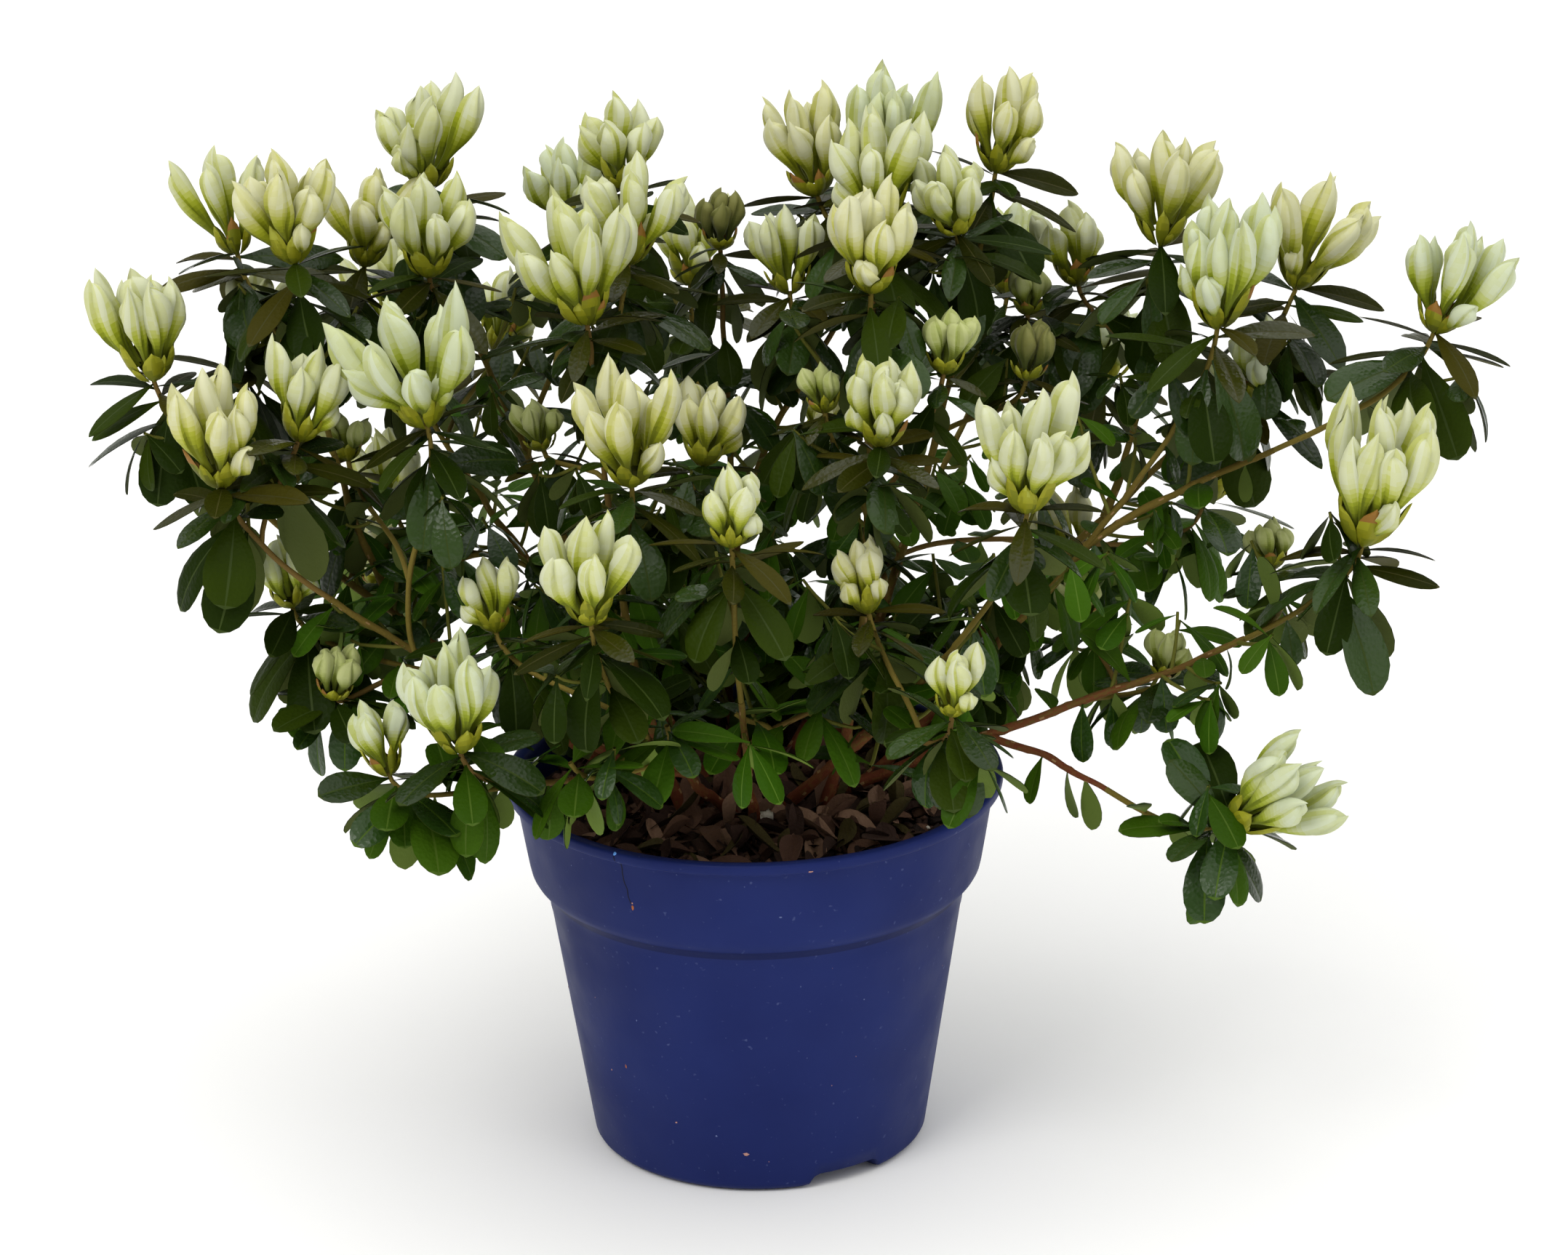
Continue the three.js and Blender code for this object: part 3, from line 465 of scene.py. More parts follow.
def pot_material(name, darker, lighter):
    """Plastic in cloudy blue with pale dust"""
    material = plain_material(name, darker, "plastic")
    tree = material.node_tree
    place = add_node(tree, "TexCoord").outputs["Object"]
    cloud = add_node(tree, "TexNoise", Vector=place, Scale=14, Detail=6)
    tone = add_node(tree, "ValToRGB", Fac=cloud.outputs["Fac"])
    for stop, position, colour in zip(tone.color_ramp.elements, (0.3, 0.72), (darker, lighter)):
        stop.position = position
        stop.color = linear(*colour)
    speck = add_node(tree, "TexNoise", Vector=place, Scale=420, Detail=1)
    dust = add_node(tree, "MapRange", Value=speck.outputs["Fac"], From_Min=0.72, From_Max=0.8, To_Max=0.55)
    mixed = tree.nodes.new("ShaderNodeMix")
    mixed.data_type = "RGBA"
    set_inputs(tree, mixed, Factor=dust.outputs["Result"], A=tone.outputs["Color"], B=linear(*DUST_BLUE))
    set_inputs(tree, tree.nodes["Principled BSDF"], Base_Color=mixed.outputs["Result"])
    return material


def make_pot():
    profile = pot_profile()
    azimuths = np.linspace(0, 2 * np.pi, POT_SIDES, endpoint=False)
    radius = profile[:, 0][:, None]
    height = np.repeat(profile[:, 1][:, None], POT_SIDES, axis=1)
    for slot_azimuth in DRAIN_SLOT_AZIMUTHS:
        away = np.abs((np.degrees(azimuths) - slot_azimuth + 180) % 360 - 180)
        inside = DRAIN_SLOT_WIDTH / 2 + DRAIN_SLOT_FLARE - np.radians(away) * FOOT_RADIUS
        height = np.maximum(height, FLOOR_LIFT * np.clip(inside / DRAIN_SLOT_FLARE, 0, 1)[None])
    vertices = polar(radius, azimuths, height).reshape(-1, 3)
    quads = grid_quads(len(profile), POT_SIDES, wrap=True)
    middle = np.repeat((profile[1:, 1] + profile[:-1, 1]) / 2, POT_SIDES)
    # Faces in the undercut below the collar take the second material, a darker blue that is painted shade
    in_painted_shade = (middle > PAINTED_SHADE_HEIGHTS[0]) & (middle < PAINTED_SHADE_HEIGHTS[1])
    materials = [
        pot_material("pot_plastic", POT_BLUE, POT_LIGHT_BLUE),
        pot_material("pot_painted_crease_shade", PAINTED_SHADE_BLUE, PAINTED_SHADE_LIGHT_BLUE),
    ]
    make_piece("pot_shell", vertices, quads, materials, in_painted_shade.astype(int), ["pot"])


# Marks on the pot. Each speck has an azimuth, a height, a width, a rise and the number of its tone.
SPECK_TONES = [(98, 110, 156), (70, 82, 130), (176, 132, 122), (158, 92, 54), (96, 152, 226), (8, 12, 34)]
SPECKS = [
    (237, 147.3, 1.6, 1.8, 4), (239, 124, 1.1, 2.8, 3), (265.5, 17.5, 4.0, 1.6, 2),
    (282.5, 144.4, 2.2, 0.8, 2), (225, 47.5, 1.0, 2.2, 3), (276, 124.5, 1.4, 0.8, 0),
    (242.5, 28.5, 1.3, 0.9, 2), (256, 25, 1.3, 0.9, 0),
]
SPECK_SIDES = 9
SPECK_RINGS = np.array([0, 0.7, 1.0])[:, None]
SPECK_LIFTS = np.array([0.22, 0.16, -0.05])[:, None]
LOOSE_SPECKS = 130
LOOSE_SPECK_LOOKS = [0, 1, 1, 1, 2]
SCRATCH = ((237, 146.6), (238.5, 125.5))
SCRATCH_WIDTH = 0.55
SCRATCH_STEPS = 24
SCRATCH_SWAY = 0.35


def on_pot(azimuth, height, lift):
    """Places on the outside of the pot, by their azimuth in degrees and their height"""
    outside = pot_profile()
    foot = np.argmax(outside[:, 1] == 0)
    rim = np.argmax(outside[:, 1] == POT_HEIGHT)
    radius = np.interp(height, outside[foot:rim, 1], outside[foot:rim, 0]) + lift
    return polar(radius, np.radians(azimuth), height).reshape(-1, 3)


def make_pot_marks():
    draw = np.random.default_rng(SEEDS["marks"])
    sheaf = Sheaf("pot_marks", shades("speck", SPECK_TONES, "speck"), "pot")
    turns = np.linspace(0, 2 * np.pi, SPECK_SIDES, endpoint=False)
    quads = grid_quads(len(SPECK_RINGS), SPECK_SIDES, wrap=True)

    def add_speck(azimuth, height, across, rise, look):
        ragged = draw.uniform(0.65, 1.15, SPECK_SIDES)
        level = height + SPECK_RINGS * ragged * np.sin(turns) * rise / 2
        turn = azimuth + np.degrees(SPECK_RINGS * ragged * np.cos(turns) * across / 2 / RIM_RADIUS)
        sheaf.add(on_pot(turn, level, SPECK_LIFTS * min(across, 1.4)), quads, look)

    for speck in SPECKS:
        add_speck(*speck)
    for _ in range(LOOSE_SPECKS):
        size = draw.uniform(0.25, 0.75)
        look = draw.choice(LOOSE_SPECK_LOOKS)
        azimuth, height = draw.uniform(0, 360), draw.uniform(8, 142)
        add_speck(azimuth, height, size, size * draw.uniform(0.6, 1.4), look)
    (first, top), (last, bottom) = SCRATCH
    line = np.linspace(0, 1, SCRATCH_STEPS)[:, None]
    sway = SCRATCH_SWAY * smooth_noise((SCRATCH_STEPS, 1), 4, draw)
    edge = np.degrees(np.array([-0.5, 0, 0.5]) * SCRATCH_WIDTH / RIM_RADIUS)
    height = np.repeat(lerp(top, bottom, line), 3, axis=1)
    vertices = on_pot(lerp(first, last, line) + sway + edge, height, np.array([0.02, 0.1, 0.02]))
    sheaf.add(vertices, grid_quads(SCRATCH_STEPS, 3), len(SPECK_TONES) - 1)
    sheaf.finish()


# Mulch: a rough dark ground with bark chips, curled dry leaves and a few white crumbs on it
MULCH_TONES = [
    (34, 22, 17), (52, 34, 26), (74, 50, 38), (98, 70, 54), (132, 102, 82), (66, 57, 26), (214, 206, 192),
]
WHITE_CRUMB = 6
MULCH_RADIUS = 87.2
MULCH_ROWS = 30
MULCH_COLUMNS = 120
# How many chips, their least and greatest sizes, tilt, tones and how high they lie
CHIPS = [
    (900, (2.5, 2, 1), (7, 5.5, 3), 0.6, [0, 0, 1, 1, 2, 3], 3.0),
    (260, (6, 4, 0.6), (13, 8, 1.4), 0.6, [0, 1, 2, 3, 4], 4.5),
    (34, (1.2, 1.0, 0.8), (2.6, 2.2, 1.8), 0.5, [WHITE_CRUMB], 4.6),
]
CHIP_REACH = 84
CHIP_CORNERS = np.array([[x, y, z] for x in (-1, 1) for y in (-1, 1) for z in (-1, 1)])
CHIP_FACES = np.array([[0, 1, 3, 2], [4, 6, 7, 5], [0, 4, 5, 1], [2, 3, 7, 6], [0, 2, 6, 4], [1, 5, 7, 3]])
CRUMB_PLACE = (4, -37)
CRUMB_LIFT = 8
CRUMB_LUMPS = 5
DRY_LEAVES = 420
DRY_LEAF_REACH = 80
DRY_LEAF_LIFT = 4
# The length, width, droop and fold of dry leaves
DRY_LEAF_SIZES = [(12, 26), (5, 10), (-1.8, 1.8), (0.2, 1.6)]
DRY_LEAF_LOOKS = [1, 1, 2, 2, 3, 3, 4, 5]


def soil_height(radius):
    share = np.clip((radius - SOIL_CROWN_RADIUS) / SOIL_SLOPE_WIDTH, 0, 1)
    return lerp(SOIL_TOP + SOIL_CROWN, SOIL_TOP, share)


def strewn(count, reach, draw):
    """Places spread evenly over the mulch, as far out as the reach"""
    away = reach * np.sqrt(draw.uniform(0, 1, count))
    return polar(away, draw.uniform(0, 2 * np.pi, count), soil_height(away))


def mulch_ground(draw):
    radius = np.linspace(0.5, MULCH_RADIUS, MULCH_ROWS)
    azimuths = np.linspace(0, 2 * np.pi, MULCH_COLUMNS, endpoint=False)
    evened = np.clip((87 - radius) / 8, 0.2, 1)[:, None]
    rough = draw.uniform(-1.6, 1.0, (MULCH_ROWS, MULCH_COLUMNS)) * evened
    return polar(radius[:, None], azimuths, soil_height(radius)[:, None] + rough).reshape(-1, 3)


def bark_chips(count, least, greatest, flatness, lift, draw):
    """The eight corners of every chip: crooked little blocks that lie at all angles"""
    centre = strewn(count, CHIP_REACH, draw)
    centre[:, 2] += draw.uniform(0, lift, count)
    size = draw.uniform(least, greatest, (count, 3)) / 2
    shape = CHIP_CORNERS[None] * size[:, None] * draw.uniform(0.55, 1.1, (count, 8, 3))
    turn = draw.uniform(0, 2 * np.pi, count)
    tilt = draw.normal(0, flatness, (count, 2))
    for k in range(count):
        turned = Matrix.Rotation(turn[k], 3, "Z") @ Matrix.Rotation(tilt[k, 0], 3, "X")
        shape[k] = shape[k] @ np.array(turned @ Matrix.Rotation(tilt[k, 1], 3, "Y")).T
    return centre[:, None] + shape


def dry_leaves(draw):
    """Curled leaves that lie on the mulch and stay inside the rim"""
    root = strewn(DRY_LEAVES, DRY_LEAF_REACH, draw) + UP * DRY_LEAF_LIFT
    heading = draw.uniform(0, 2 * np.pi, DRY_LEAVES)
    rise = draw.uniform(-0.1, 0.45, DRY_LEAVES)
    along = unit(polar(1, heading, rise))
    end = root + along * 24
    keep = np.hypot(end[:, 0], end[:, 1]) < 82
    count = keep.sum()
    sizes = [draw.uniform(low, high, count) for low, high in DRY_LEAF_SIZES]
    return leaf_sheets(zip(root[keep], along[keep], np.tile(UP, (count, 1)), *sizes), OBOVATE)[0]


def make_mulch():
    draw = np.random.default_rng(SEEDS["mulch"])
    sheaf = Sheaf("mulch_bed", shades("mulch", MULCH_TONES, "mulch"), "mulch", ["mulch"])
    sheaf.add(mulch_ground(draw), grid_quads(MULCH_ROWS, MULCH_COLUMNS, wrap=True), 0)
    for count, least, greatest, flatness, looks, lift in CHIPS:
        chips = bark_chips(count, least, greatest, flatness, lift, draw)
        sheaf.add(chips, CHIP_FACES, draw.choice(looks, count)[:, None])
    place = np.array([CRUMB_PLACE + (soil_height(SOIL_CROWN_RADIUS) + CRUMB_LIFT,)])
    lumps = place + draw.uniform(-1.6, 1.6, (CRUMB_LUMPS, 3))
    corners = CHIP_CORNERS * draw.uniform(1.2, 2.2, (CRUMB_LUMPS, 8, 3))
    sheaf.add(lumps[:, None] + corners, CHIP_FACES, WHITE_CRUMB)
    leaves = dry_leaves(draw)
    sheaf.add(leaves, TOP_QUADS, draw.choice(DRY_LEAF_LOOKS, len(leaves))[:, None])
    sheaf.finish()


# Limbs: stems and boughs with bark, ridges and the pale scars of fallen leaves
BARK_TONES = [(104, 54, 34), (106, 64, 36), (101, 76, 37), (102, 87, 36), (142, 112, 74)]
LEAF_SCAR = 4
LIMB_SIDES = 14
LIMB_STEP = 1.6
AGEING_HEIGHT = 24


def make_limbs():
    draw = np.random.default_rng(SEEDS["limbs"])
    replaced = [f"{limb.kind}_{limb.name}" for limb in LIMBS]
    sheaf = Sheaf("bark", shades("bark", BARK_TONES, "bark"), "bark", replaced)
    for limb in LIMBS:
        path, end = limb.path, limb.neck
        steps = max(12, int(path.length * end / LIMB_STEP))
        shares = np.linspace(0, end, steps)
        foot = STEM_RADIUS if limb.kind == "stem" else BOUGH_RADIUS
        taper = lerp(NECK_RADIUS, foot, np.linspace(1, 0, steps) ** LIMB_TAPER)[:, None]
        ridges = 0.08 * smooth_noise((steps, LIMB_SIDES), 3, draw)
        knots = 0.09 * smooth_noise((steps, 1), 5, draw)
        radii = taper * (1 + ridges + knots)
        ageing = (path.points(shares[1:])[:, 2:] - SOIL_TOP) / AGEING_HEIGHT
        stray = draw.uniform(-0.7, 0.7, (steps - 1, LIMB_SIDES))
        looks = np.clip(ageing + stray, 0, LEAF_SCAR - 1).astype(int)
        turn, place = draw.uniform(0, LIMB_SIDES), draw.integers(1, 4)
        while place < steps - 2:
            column = int(turn) % LIMB_SIDES
            for k, swell in ((-1, 0.1), (0, 0.2), (1, 0.1)):
                radii[place, (column + k) % LIMB_SIDES] *= 1 + swell
            looks[place, column] = LEAF_SCAR
            place += draw.integers(2, 5)
            turn += LIMB_SIDES * GOLDEN_ANGLE / 360
        line = wandering(path.points(shares), LIMB_WANDER, 8, draw)
        sheaf.add(tube(line, radii), grid_quads(steps, LIMB_SIDES, wrap=True), looks.reshape(-1))
    sheaf.finish()


# Leaves. Rows of stations along the leaf, with the half width at each as a share of the widest.
STATIONS = np.array([[0, 0.05, 0.12, 0.24, 0.38, 0.52, 0.66, 0.79, 0.9, 0.965, 1.0]]).T
OBOVATE = np.array([[0.07, 0.08, 0.16, 0.42, 0.72, 0.92, 1.0, 0.94, 0.72, 0.42, 0.04]]).T
LANCE = np.array([[0.1, 0.12, 0.25, 0.55, 0.82, 0.97, 1.0, 0.86, 0.56, 0.28, 0.03]]).T
TOP_LANES = np.array([-1, -0.55, -0.05, 0.05, 0.55, 1.0])
UNDER_LANES = np.array([-1, 0, 1.0])
RIB_LANE = 2
TOP_QUADS = grid_quads(len(STATIONS), len(TOP_LANES))
UNDER_QUADS = grid_quads(len(STATIONS), len(UNDER_LANES))
HALF_THICKNESS = 0.12

LEAF_TONES = {
    "bronze": [(39, 42, 4), (45, 48, 6), (33, 37, 3), (56, 53, 11)],
    "dark": [(28, 46, 8), (40, 54, 6), (26, 40, 3), (40, 61, 16)],
    "green": [(43, 70, 7), (52, 80, 11), (35, 60, 15)],
    "bright": [(46, 79, 9), (57, 91, 14)],
}
RIB_TONES = {"bronze": (58, 57, 24), "dark": (50, 64, 22), "green": (66, 90, 24), "bright": (78, 108, 30)}
UNDER_TONES = {
    "bronze": (76, 75, 36), "dark": (80, 90, 44), "green": (92, 110, 48), "bright": (108, 130, 56),
}
FAMILIES = list(LEAF_TONES)
GLOSSY_EVERY = 3
GLOSSY_LEAF = 1
TWIG_TONES = [(116, 102, 44), (106, 93, 38), (110, 88, 44), (98, 99, 38)]
SHORT_SHOOT_LOOK = 3
TWIG_SIDES = 7
TWIG_STEP = 4

# A leaf is kept at the first of a few steeper and shorter tries at which these places on it are clear
LEAF_PLACES = np.array([0.35, 0.6, 0.85, 1.0])
CLEAR_OF_LIMBS = 4
CLEAR_OF_BUDS = 10
TRIES = 5
STEEPER = 9
STEEPEST = 86
SWING = 30
SHRINK = 0.05
LEAF_ROLL = 16
# The stems' feet show between these sides of the pot's front, under this height
FRONT_LEFT = -45
FRONT_RIGHT = 62
FRONT_LEAST_HEIGHT = 172
# The front bud clusters show: no leaf hangs before them at these distances
SIGHT_GAPS = (14, 28, 42, 56)
CORE_SHARES = np.array([[0.18], [0.4], [0.62], [0.85]])

# Kinds of leaves: length as a share of the shoot's leaf size, width as a share of that length, fall
# below the level in degrees, droop and outline
LEAF_KINDS = {
    "upper": ((0.66, 0.95), (0.38, 0.46), (-14, 20), 0.35, OBOVATE),
    "slim": ((0.66, 0.95), (0.25, 0.31), (-14, 20), 0.35, LANCE),
    "lower": ((0.72, 1.0), (0.4, 0.48), (8, 64), 0.6, OBOVATE),
    "leaning": ((0.72, 1.0), (0.4, 0.48), (-30, 44), 0.6, OBOVATE),
    "lone": ((0.6, 1.0), (0.4, 0.52), (-15, 55), 0.5, OBOVATE),
    "low": ((0.6, 1.0), (0.4, 0.52), (10, 70), 0.5, OBOVATE),
}
FIRST_FAMILY_SHARE = 0.6
SHORT_LENGTHS = (0.7, 1.05)
SHORT_WIDTH = 0.41
SHORT_FALLS = (-5, 55)
SHORT_DROOP = 0.4
WHORL_GAP = 1.3
SLIM_HEIGHT = 225
LOW_HEIGHT = 200
RIM_OF_CROWN = 150
RIM_LEAF_GAIN = 5
LEANING = 0.72
# A whorl's upper and lower leaves and their size, under a full truss, a small one and none
FULL_WHORL = (8, 6, 40)
LOW_WHORL = (8, 6, 36)
SMALL_WHORL = (6, 3, 29)
BARE_WHORL = (5, 2, 33)
# Left and right of the middle the upper twigs show between fewer and smaller leaves
OPEN_REACH = 50
OPEN_HEIGHT = 226
OPEN_SIZE = 0.8
OPEN_SKIP = 0.4
# Leaves darken with their height
DARK_HEIGHT = 215
DARKEST_HEIGHT = 235
# Single leaves on a mass's shoot: their steps low and high on the plant and without a truss, their
# stretch of the shoot and their size. One short shoot starts in its own stretch.
LONE_STEPS = (8.5, 12, 24)
LONE_STRETCH = (0.12, 0.86)
LONE_SIZE = 28
SIDE_SHOOT_STRETCH = (0.35, 0.7)
SIDE_SHOOT_LENGTHS = (14, 26)
# Limbs bear leaves past the pot's rim, and short leafy shoots every few millimetres
PAST_RIM = RIM_RADIUS + 12
LIMB_LEAF_STEP = 9
LIMB_LEAF_SIZE = 29
LIMB_SHOOT_STEP = 8
LIMB_BARE_SHARE = 0.2
LIMB_SHOOT_LENGTHS = (18, 34)
# The least height of those shoots and the share that is kept, in front, behind and in the open
FRONT_LOWEST = 184
BEHIND = 8
BEHIND_LOWEST = 150
BEHIND_LOW = 195
KEPT_FRONT = 0.55
KEPT_BEHIND_LOW = 0.95
KEPT_OPEN = 0.25
# Their leaves' size at the plant's axis and at its edge, and the heights of their colours
INNER_LEAF_SIZE = 31
OUTER_LEAF_SIZE = 23
CROWN_REACH = 200
BRIGHT_BELOW = 230
BRIGHT_SHARE = 0.35
GREEN_BELOW = 250
# Low leafy shoots on the limbs at the back hide the far side of the pot's rim; their dark leaf tones are
# painted shade
BACK_SHOOT_STEP = 6
BACK_SHOOT_DEPTH = 14
BACK_SHOOT_LOWEST = 152
BACK_SHOOT_HIGHEST = 200
BACK_SHOOT_LENGTHS = (14, 28)


def leaf_sheets(rows, outline):
    """The upper and lower sheets of many leaves. Each bends down by droop, in radians, from its
    root to its tip, and folds up along its midrib by fold."""
    root, along, face, length, width, droop, fold = per_grid(rows)
    across = unit(np.cross(along, face))
    face = np.cross(across, along)
    bend = -droop * STATIONS**1.4
    step = np.diff(STATIONS, axis=0, prepend=0)
    forward = np.cumsum(np.cos(bend) * step, axis=1) * length
    rise = np.cumsum(np.sin(bend) * step, axis=1) * length
    spine = root + forward[..., None] * along + rise[..., None] * face
    normal = np.cos(bend)[..., None] * face - np.sin(bend)[..., None] * along
    half = outline * width / 2

    def sheet(lanes, lift):
        out = half * lanes
        curl = 0.5 * np.maximum(np.abs(lanes) - 0.5, 0) * half
        up = np.abs(out) * fold - curl + lift
        return spine + out[..., None] * across + up[..., None] * normal

    top = sheet(TOP_LANES, HALF_THICKNESS)
    under = sheet(UNDER_LANES, -HALF_THICKNESS)[:, :, ::-1]
    return top.reshape(len(root), -1, 3), under.reshape(len(root), -1, 3)


def in_open_air(place):
    return abs(place[0]) > OPEN_REACH and place[2] > OPEN_HEIGHT


class Foliage:
    """Grows twigs, and leaves that are clear of buds, limbs, pot and mulch"""

    def __init__(self):
        self.draw = np.random.default_rng(SEEDS["foliage"])
        self.rows = []
        self.blocks = np.concatenate([limb.path.points(np.linspace(0.05, limb.neck, 40)) for limb in LIMBS])
        budded = [shoot for shoot in SHOOTS if shoot.truss]
        reach = CORE_SHARES * TRUSS_HEIGHT
        cores = [shoot.tip + shoot.axis * reach * shoot.truss for shoot in budded]
        pitch = math.radians(CAMERA_PITCH)
        to_viewer = np.array([0, -math.cos(pitch), math.sin(pitch)])
        in_view = np.concatenate([core for shoot, core in zip(budded, cores) if shoot.tip[1] < 0])
        self.cores = np.concatenate([*cores, *[in_view + to_viewer * gap for gap in SIGHT_GAPS]])
        self.twigs = Sheaf("twigs", shades("twig", TWIG_TONES, "twig"), "bark")

    def is_clear(self, root, along, length, droop):
        reach = LEAF_PLACES * length
        down = 0.35 * droop * reach * LEAF_PLACES
        places = root + reach[:, None] * along - down[:, None] * UP
        side, depth, level = places.T
        away = np.hypot(side, depth)
        in_mulch = (level < SOIL_TOP + SOIL_CROWN + 2).any() and (away < RIM_RADIUS + 3).any()
        in_wall = (level < POT_HEIGHT + 2) & (away > 80) & (away < RIM_RADIUS + 4)
        in_front = (side > FRONT_LEFT) & (side < FRONT_RIGHT) & (depth < 0) & (level < FRONT_LEAST_HEIGHT)
        if in_mulch or in_wall.any() or in_front.any():
            return False
        gap_to_limbs = np.linalg.norm(places[:, None] - self.blocks[None], axis=2).min()
        gap_to_buds = np.linalg.norm(places[:, None] - self.cores[None], axis=2).min()
        return gap_to_limbs > CLEAR_OF_LIMBS and gap_to_buds > CLEAR_OF_BUDS

    def leaf(self, root, outward, fall, length, width, family, outline, droop):
        """A leaf that heads outward and falls below the level by an angle in degrees"""
        draw = self.draw
        for attempt in range(TRIES):
            down = math.radians(min(fall + attempt * STEEPER, STEEPEST))
            swing = math.radians(attempt * SWING * (draw.random() - 0.5))
            flat = np.array([
                outward[0] * math.cos(swing) - outward[1] * math.sin(swing),
                outward[0] * math.sin(swing) + outward[1] * math.cos(swing),
                outward[2],
            ])
            along = unit(flat * math.cos(down) - UP * math.sin(down))
            size = length * (1 - SHRINK * attempt)
            bend = droop * draw.uniform(0.5, 1.4)
            if self.is_clear(root, along, size, bend):
                face = unit(UP - along * along[2])
                lean = math.radians(draw.normal(0, LEAF_ROLL))
                face = face * math.cos(lean) + np.cross(along, face) * math.sin(lean)
                tone = draw.integers(len(LEAF_TONES[family]))
                fold = draw.uniform(0.12, 0.5)
                self.rows.append((root, along, face, size, width, bend, fold, family, tone, outline))
                return

    def twig(self, path, start, foot, end, look):
        steps = max(6, int(path.length * (1 - start) / TWIG_STEP))
        knots = 1 + 0.1 * smooth_noise((steps, TWIG_SIDES), 2, self.draw)
        radii = np.linspace(foot, end, steps)[:, None] * knots
        line = wandering(path.points(np.linspace(start, 1, steps)), TWIG_WANDER, 4, self.draw)
        self.twigs.add(tube(line, radii), grid_quads(steps, TWIG_SIDES, wrap=True), look)

    def leaf_of(self, kind, root, outward, size, families, shrink=1):
        """A leaf of one kind. Of two families, the first is the likelier."""
        lengths, widths, falls, droop, outline = LEAF_KINDS[kind]
        length = size * self.draw.uniform(*lengths) * shrink
        width = length * self.draw.uniform(*widths)
        first = len(families) == 1 or self.draw.random() < FIRST_FAMILY_SHARE
        family = families[0] if first else families[1]
        self.leaf(root, outward, self.draw.uniform(*falls), length, width, family, outline, droop)

    def whorl(self, shoot, upper, lower, size, families):
        """Leaves wound round a shoot's tip: the upper ones stand out and the lower ones hang"""
        path, tip, axis = shoot.path, shoot.tip, shoot.axis
        size += RIM_LEAF_GAIN * (math.hypot(tip[0], tip[1]) > RIM_OF_CROWN)
        speed = 3 * np.linalg.norm(path.handles[3] - path.handles[2])
        start = self.draw.uniform(0, 360)
        for k in range(upper + lower):
            root = path.points(1 - (1.0 + WHORL_GAP * k) / speed)
            outward = around(axis, start + k * GOLDEN_ANGLE + self.draw.uniform(-14, 14))
            if k < upper:
                self.leaf_of("slim" if tip[2] > SLIM_HEIGHT else "upper", root, outward, size, families)
            else:
                self.leaf_of("lower" if axis[2] > LEANING else "leaning", root, outward, size, families[1:])

    def lone_leaves(self, path, start, end, step, size, family):
        """Single leaves wound along a stretch of a path"""
        turn = self.draw.uniform(0, 360)
        count = int(path.length * (end - start) / step)
        for k in range(count):
            share = lerp(start, end, (k + self.draw.random()) / count)
            root = path.points(share)
            airy = in_open_air(root)
            if airy and self.draw.random() < OPEN_SKIP:
                continue
            outward = around(path.tangents(share), turn + k * GOLDEN_ANGLE)
            kind = "low" if root[2] < LOW_HEIGHT else "lone"
            self.leaf_of(kind, root, outward, size, [family], OPEN_SIZE if airy else 1)

    def side_heading(self, path, share, follow):
        """A direction to a random side of a path that also follows it by a share"""
        tangent = path.tangents(share)
        return unit(around(tangent, self.draw.uniform(0, 360)) + tangent * follow)

    def short_shoot(self, root, heading, lengths, leaves, size, family):
        """A thin twig with a few leaves at its end"""
        draw = self.draw
        length = draw.uniform(*lengths)
        axis = unit(heading + UP * 0.8)
        path = Path(root, heading, root + heading * length + UP * (length * 0.25), axis)
        self.twig(path, 0, 0.85, 0.6, SHORT_SHOOT_LOOK)
        start = draw.uniform(0, 360)
        for k in range(leaves):
            outward = around(axis, start + k * GOLDEN_ANGLE)
            long = size * draw.uniform(*SHORT_LENGTHS)
            fall = draw.uniform(*SHORT_FALLS)
            root = path.points(1 - 0.05 * k)
            self.leaf(root, outward, fall, long, long * SHORT_WIDTH, family, OBOVATE, SHORT_DROOP)

    def dress_shoot(self, shoot):
        """A mass's shoot: its twig, the whorl at its tip, leaves along it and one short shoot"""
        draw, path = self.draw, shoot.path
        height = shoot.tip[2]
        self.twig(path, shoot.start, shoot.foot, TWIG_END_RADIUS, draw.integers(0, 3))
        high = height > DARKEST_HEIGHT
        families = ("bronze" if high else "dark", "dark" if height > DARK_HEIGHT else "green")
        upper, lower, size = LOW_WHORL if height < SLIM_HEIGHT else FULL_WHORL
        step = LONE_STEPS[0] if height < DARKEST_HEIGHT else LONE_STEPS[1]
        if shoot.truss == 0:
            families = ("green", "bright")
            upper, lower, size = BARE_WHORL
            step = LONE_STEPS[2]
        elif shoot.truss < SMALL_TRUSS:
            upper, lower, size = SMALL_WHORL
        self.whorl(shoot, upper, lower, size, families)
        family = "dark" if high else "green"
        first, last = [lerp(shoot.start, 1, share) for share in LONE_STRETCH]
        self.lone_leaves(path, first, last, step, LONE_SIZE, family)
        place = lerp(shoot.start, 1, draw.uniform(*SIDE_SHOOT_STRETCH))
        heading = self.side_heading(path, place, 0.7)
        self.short_shoot(path.points(place), heading, SIDE_SHOOT_LENGTHS, 4, LONE_SIZE, family)

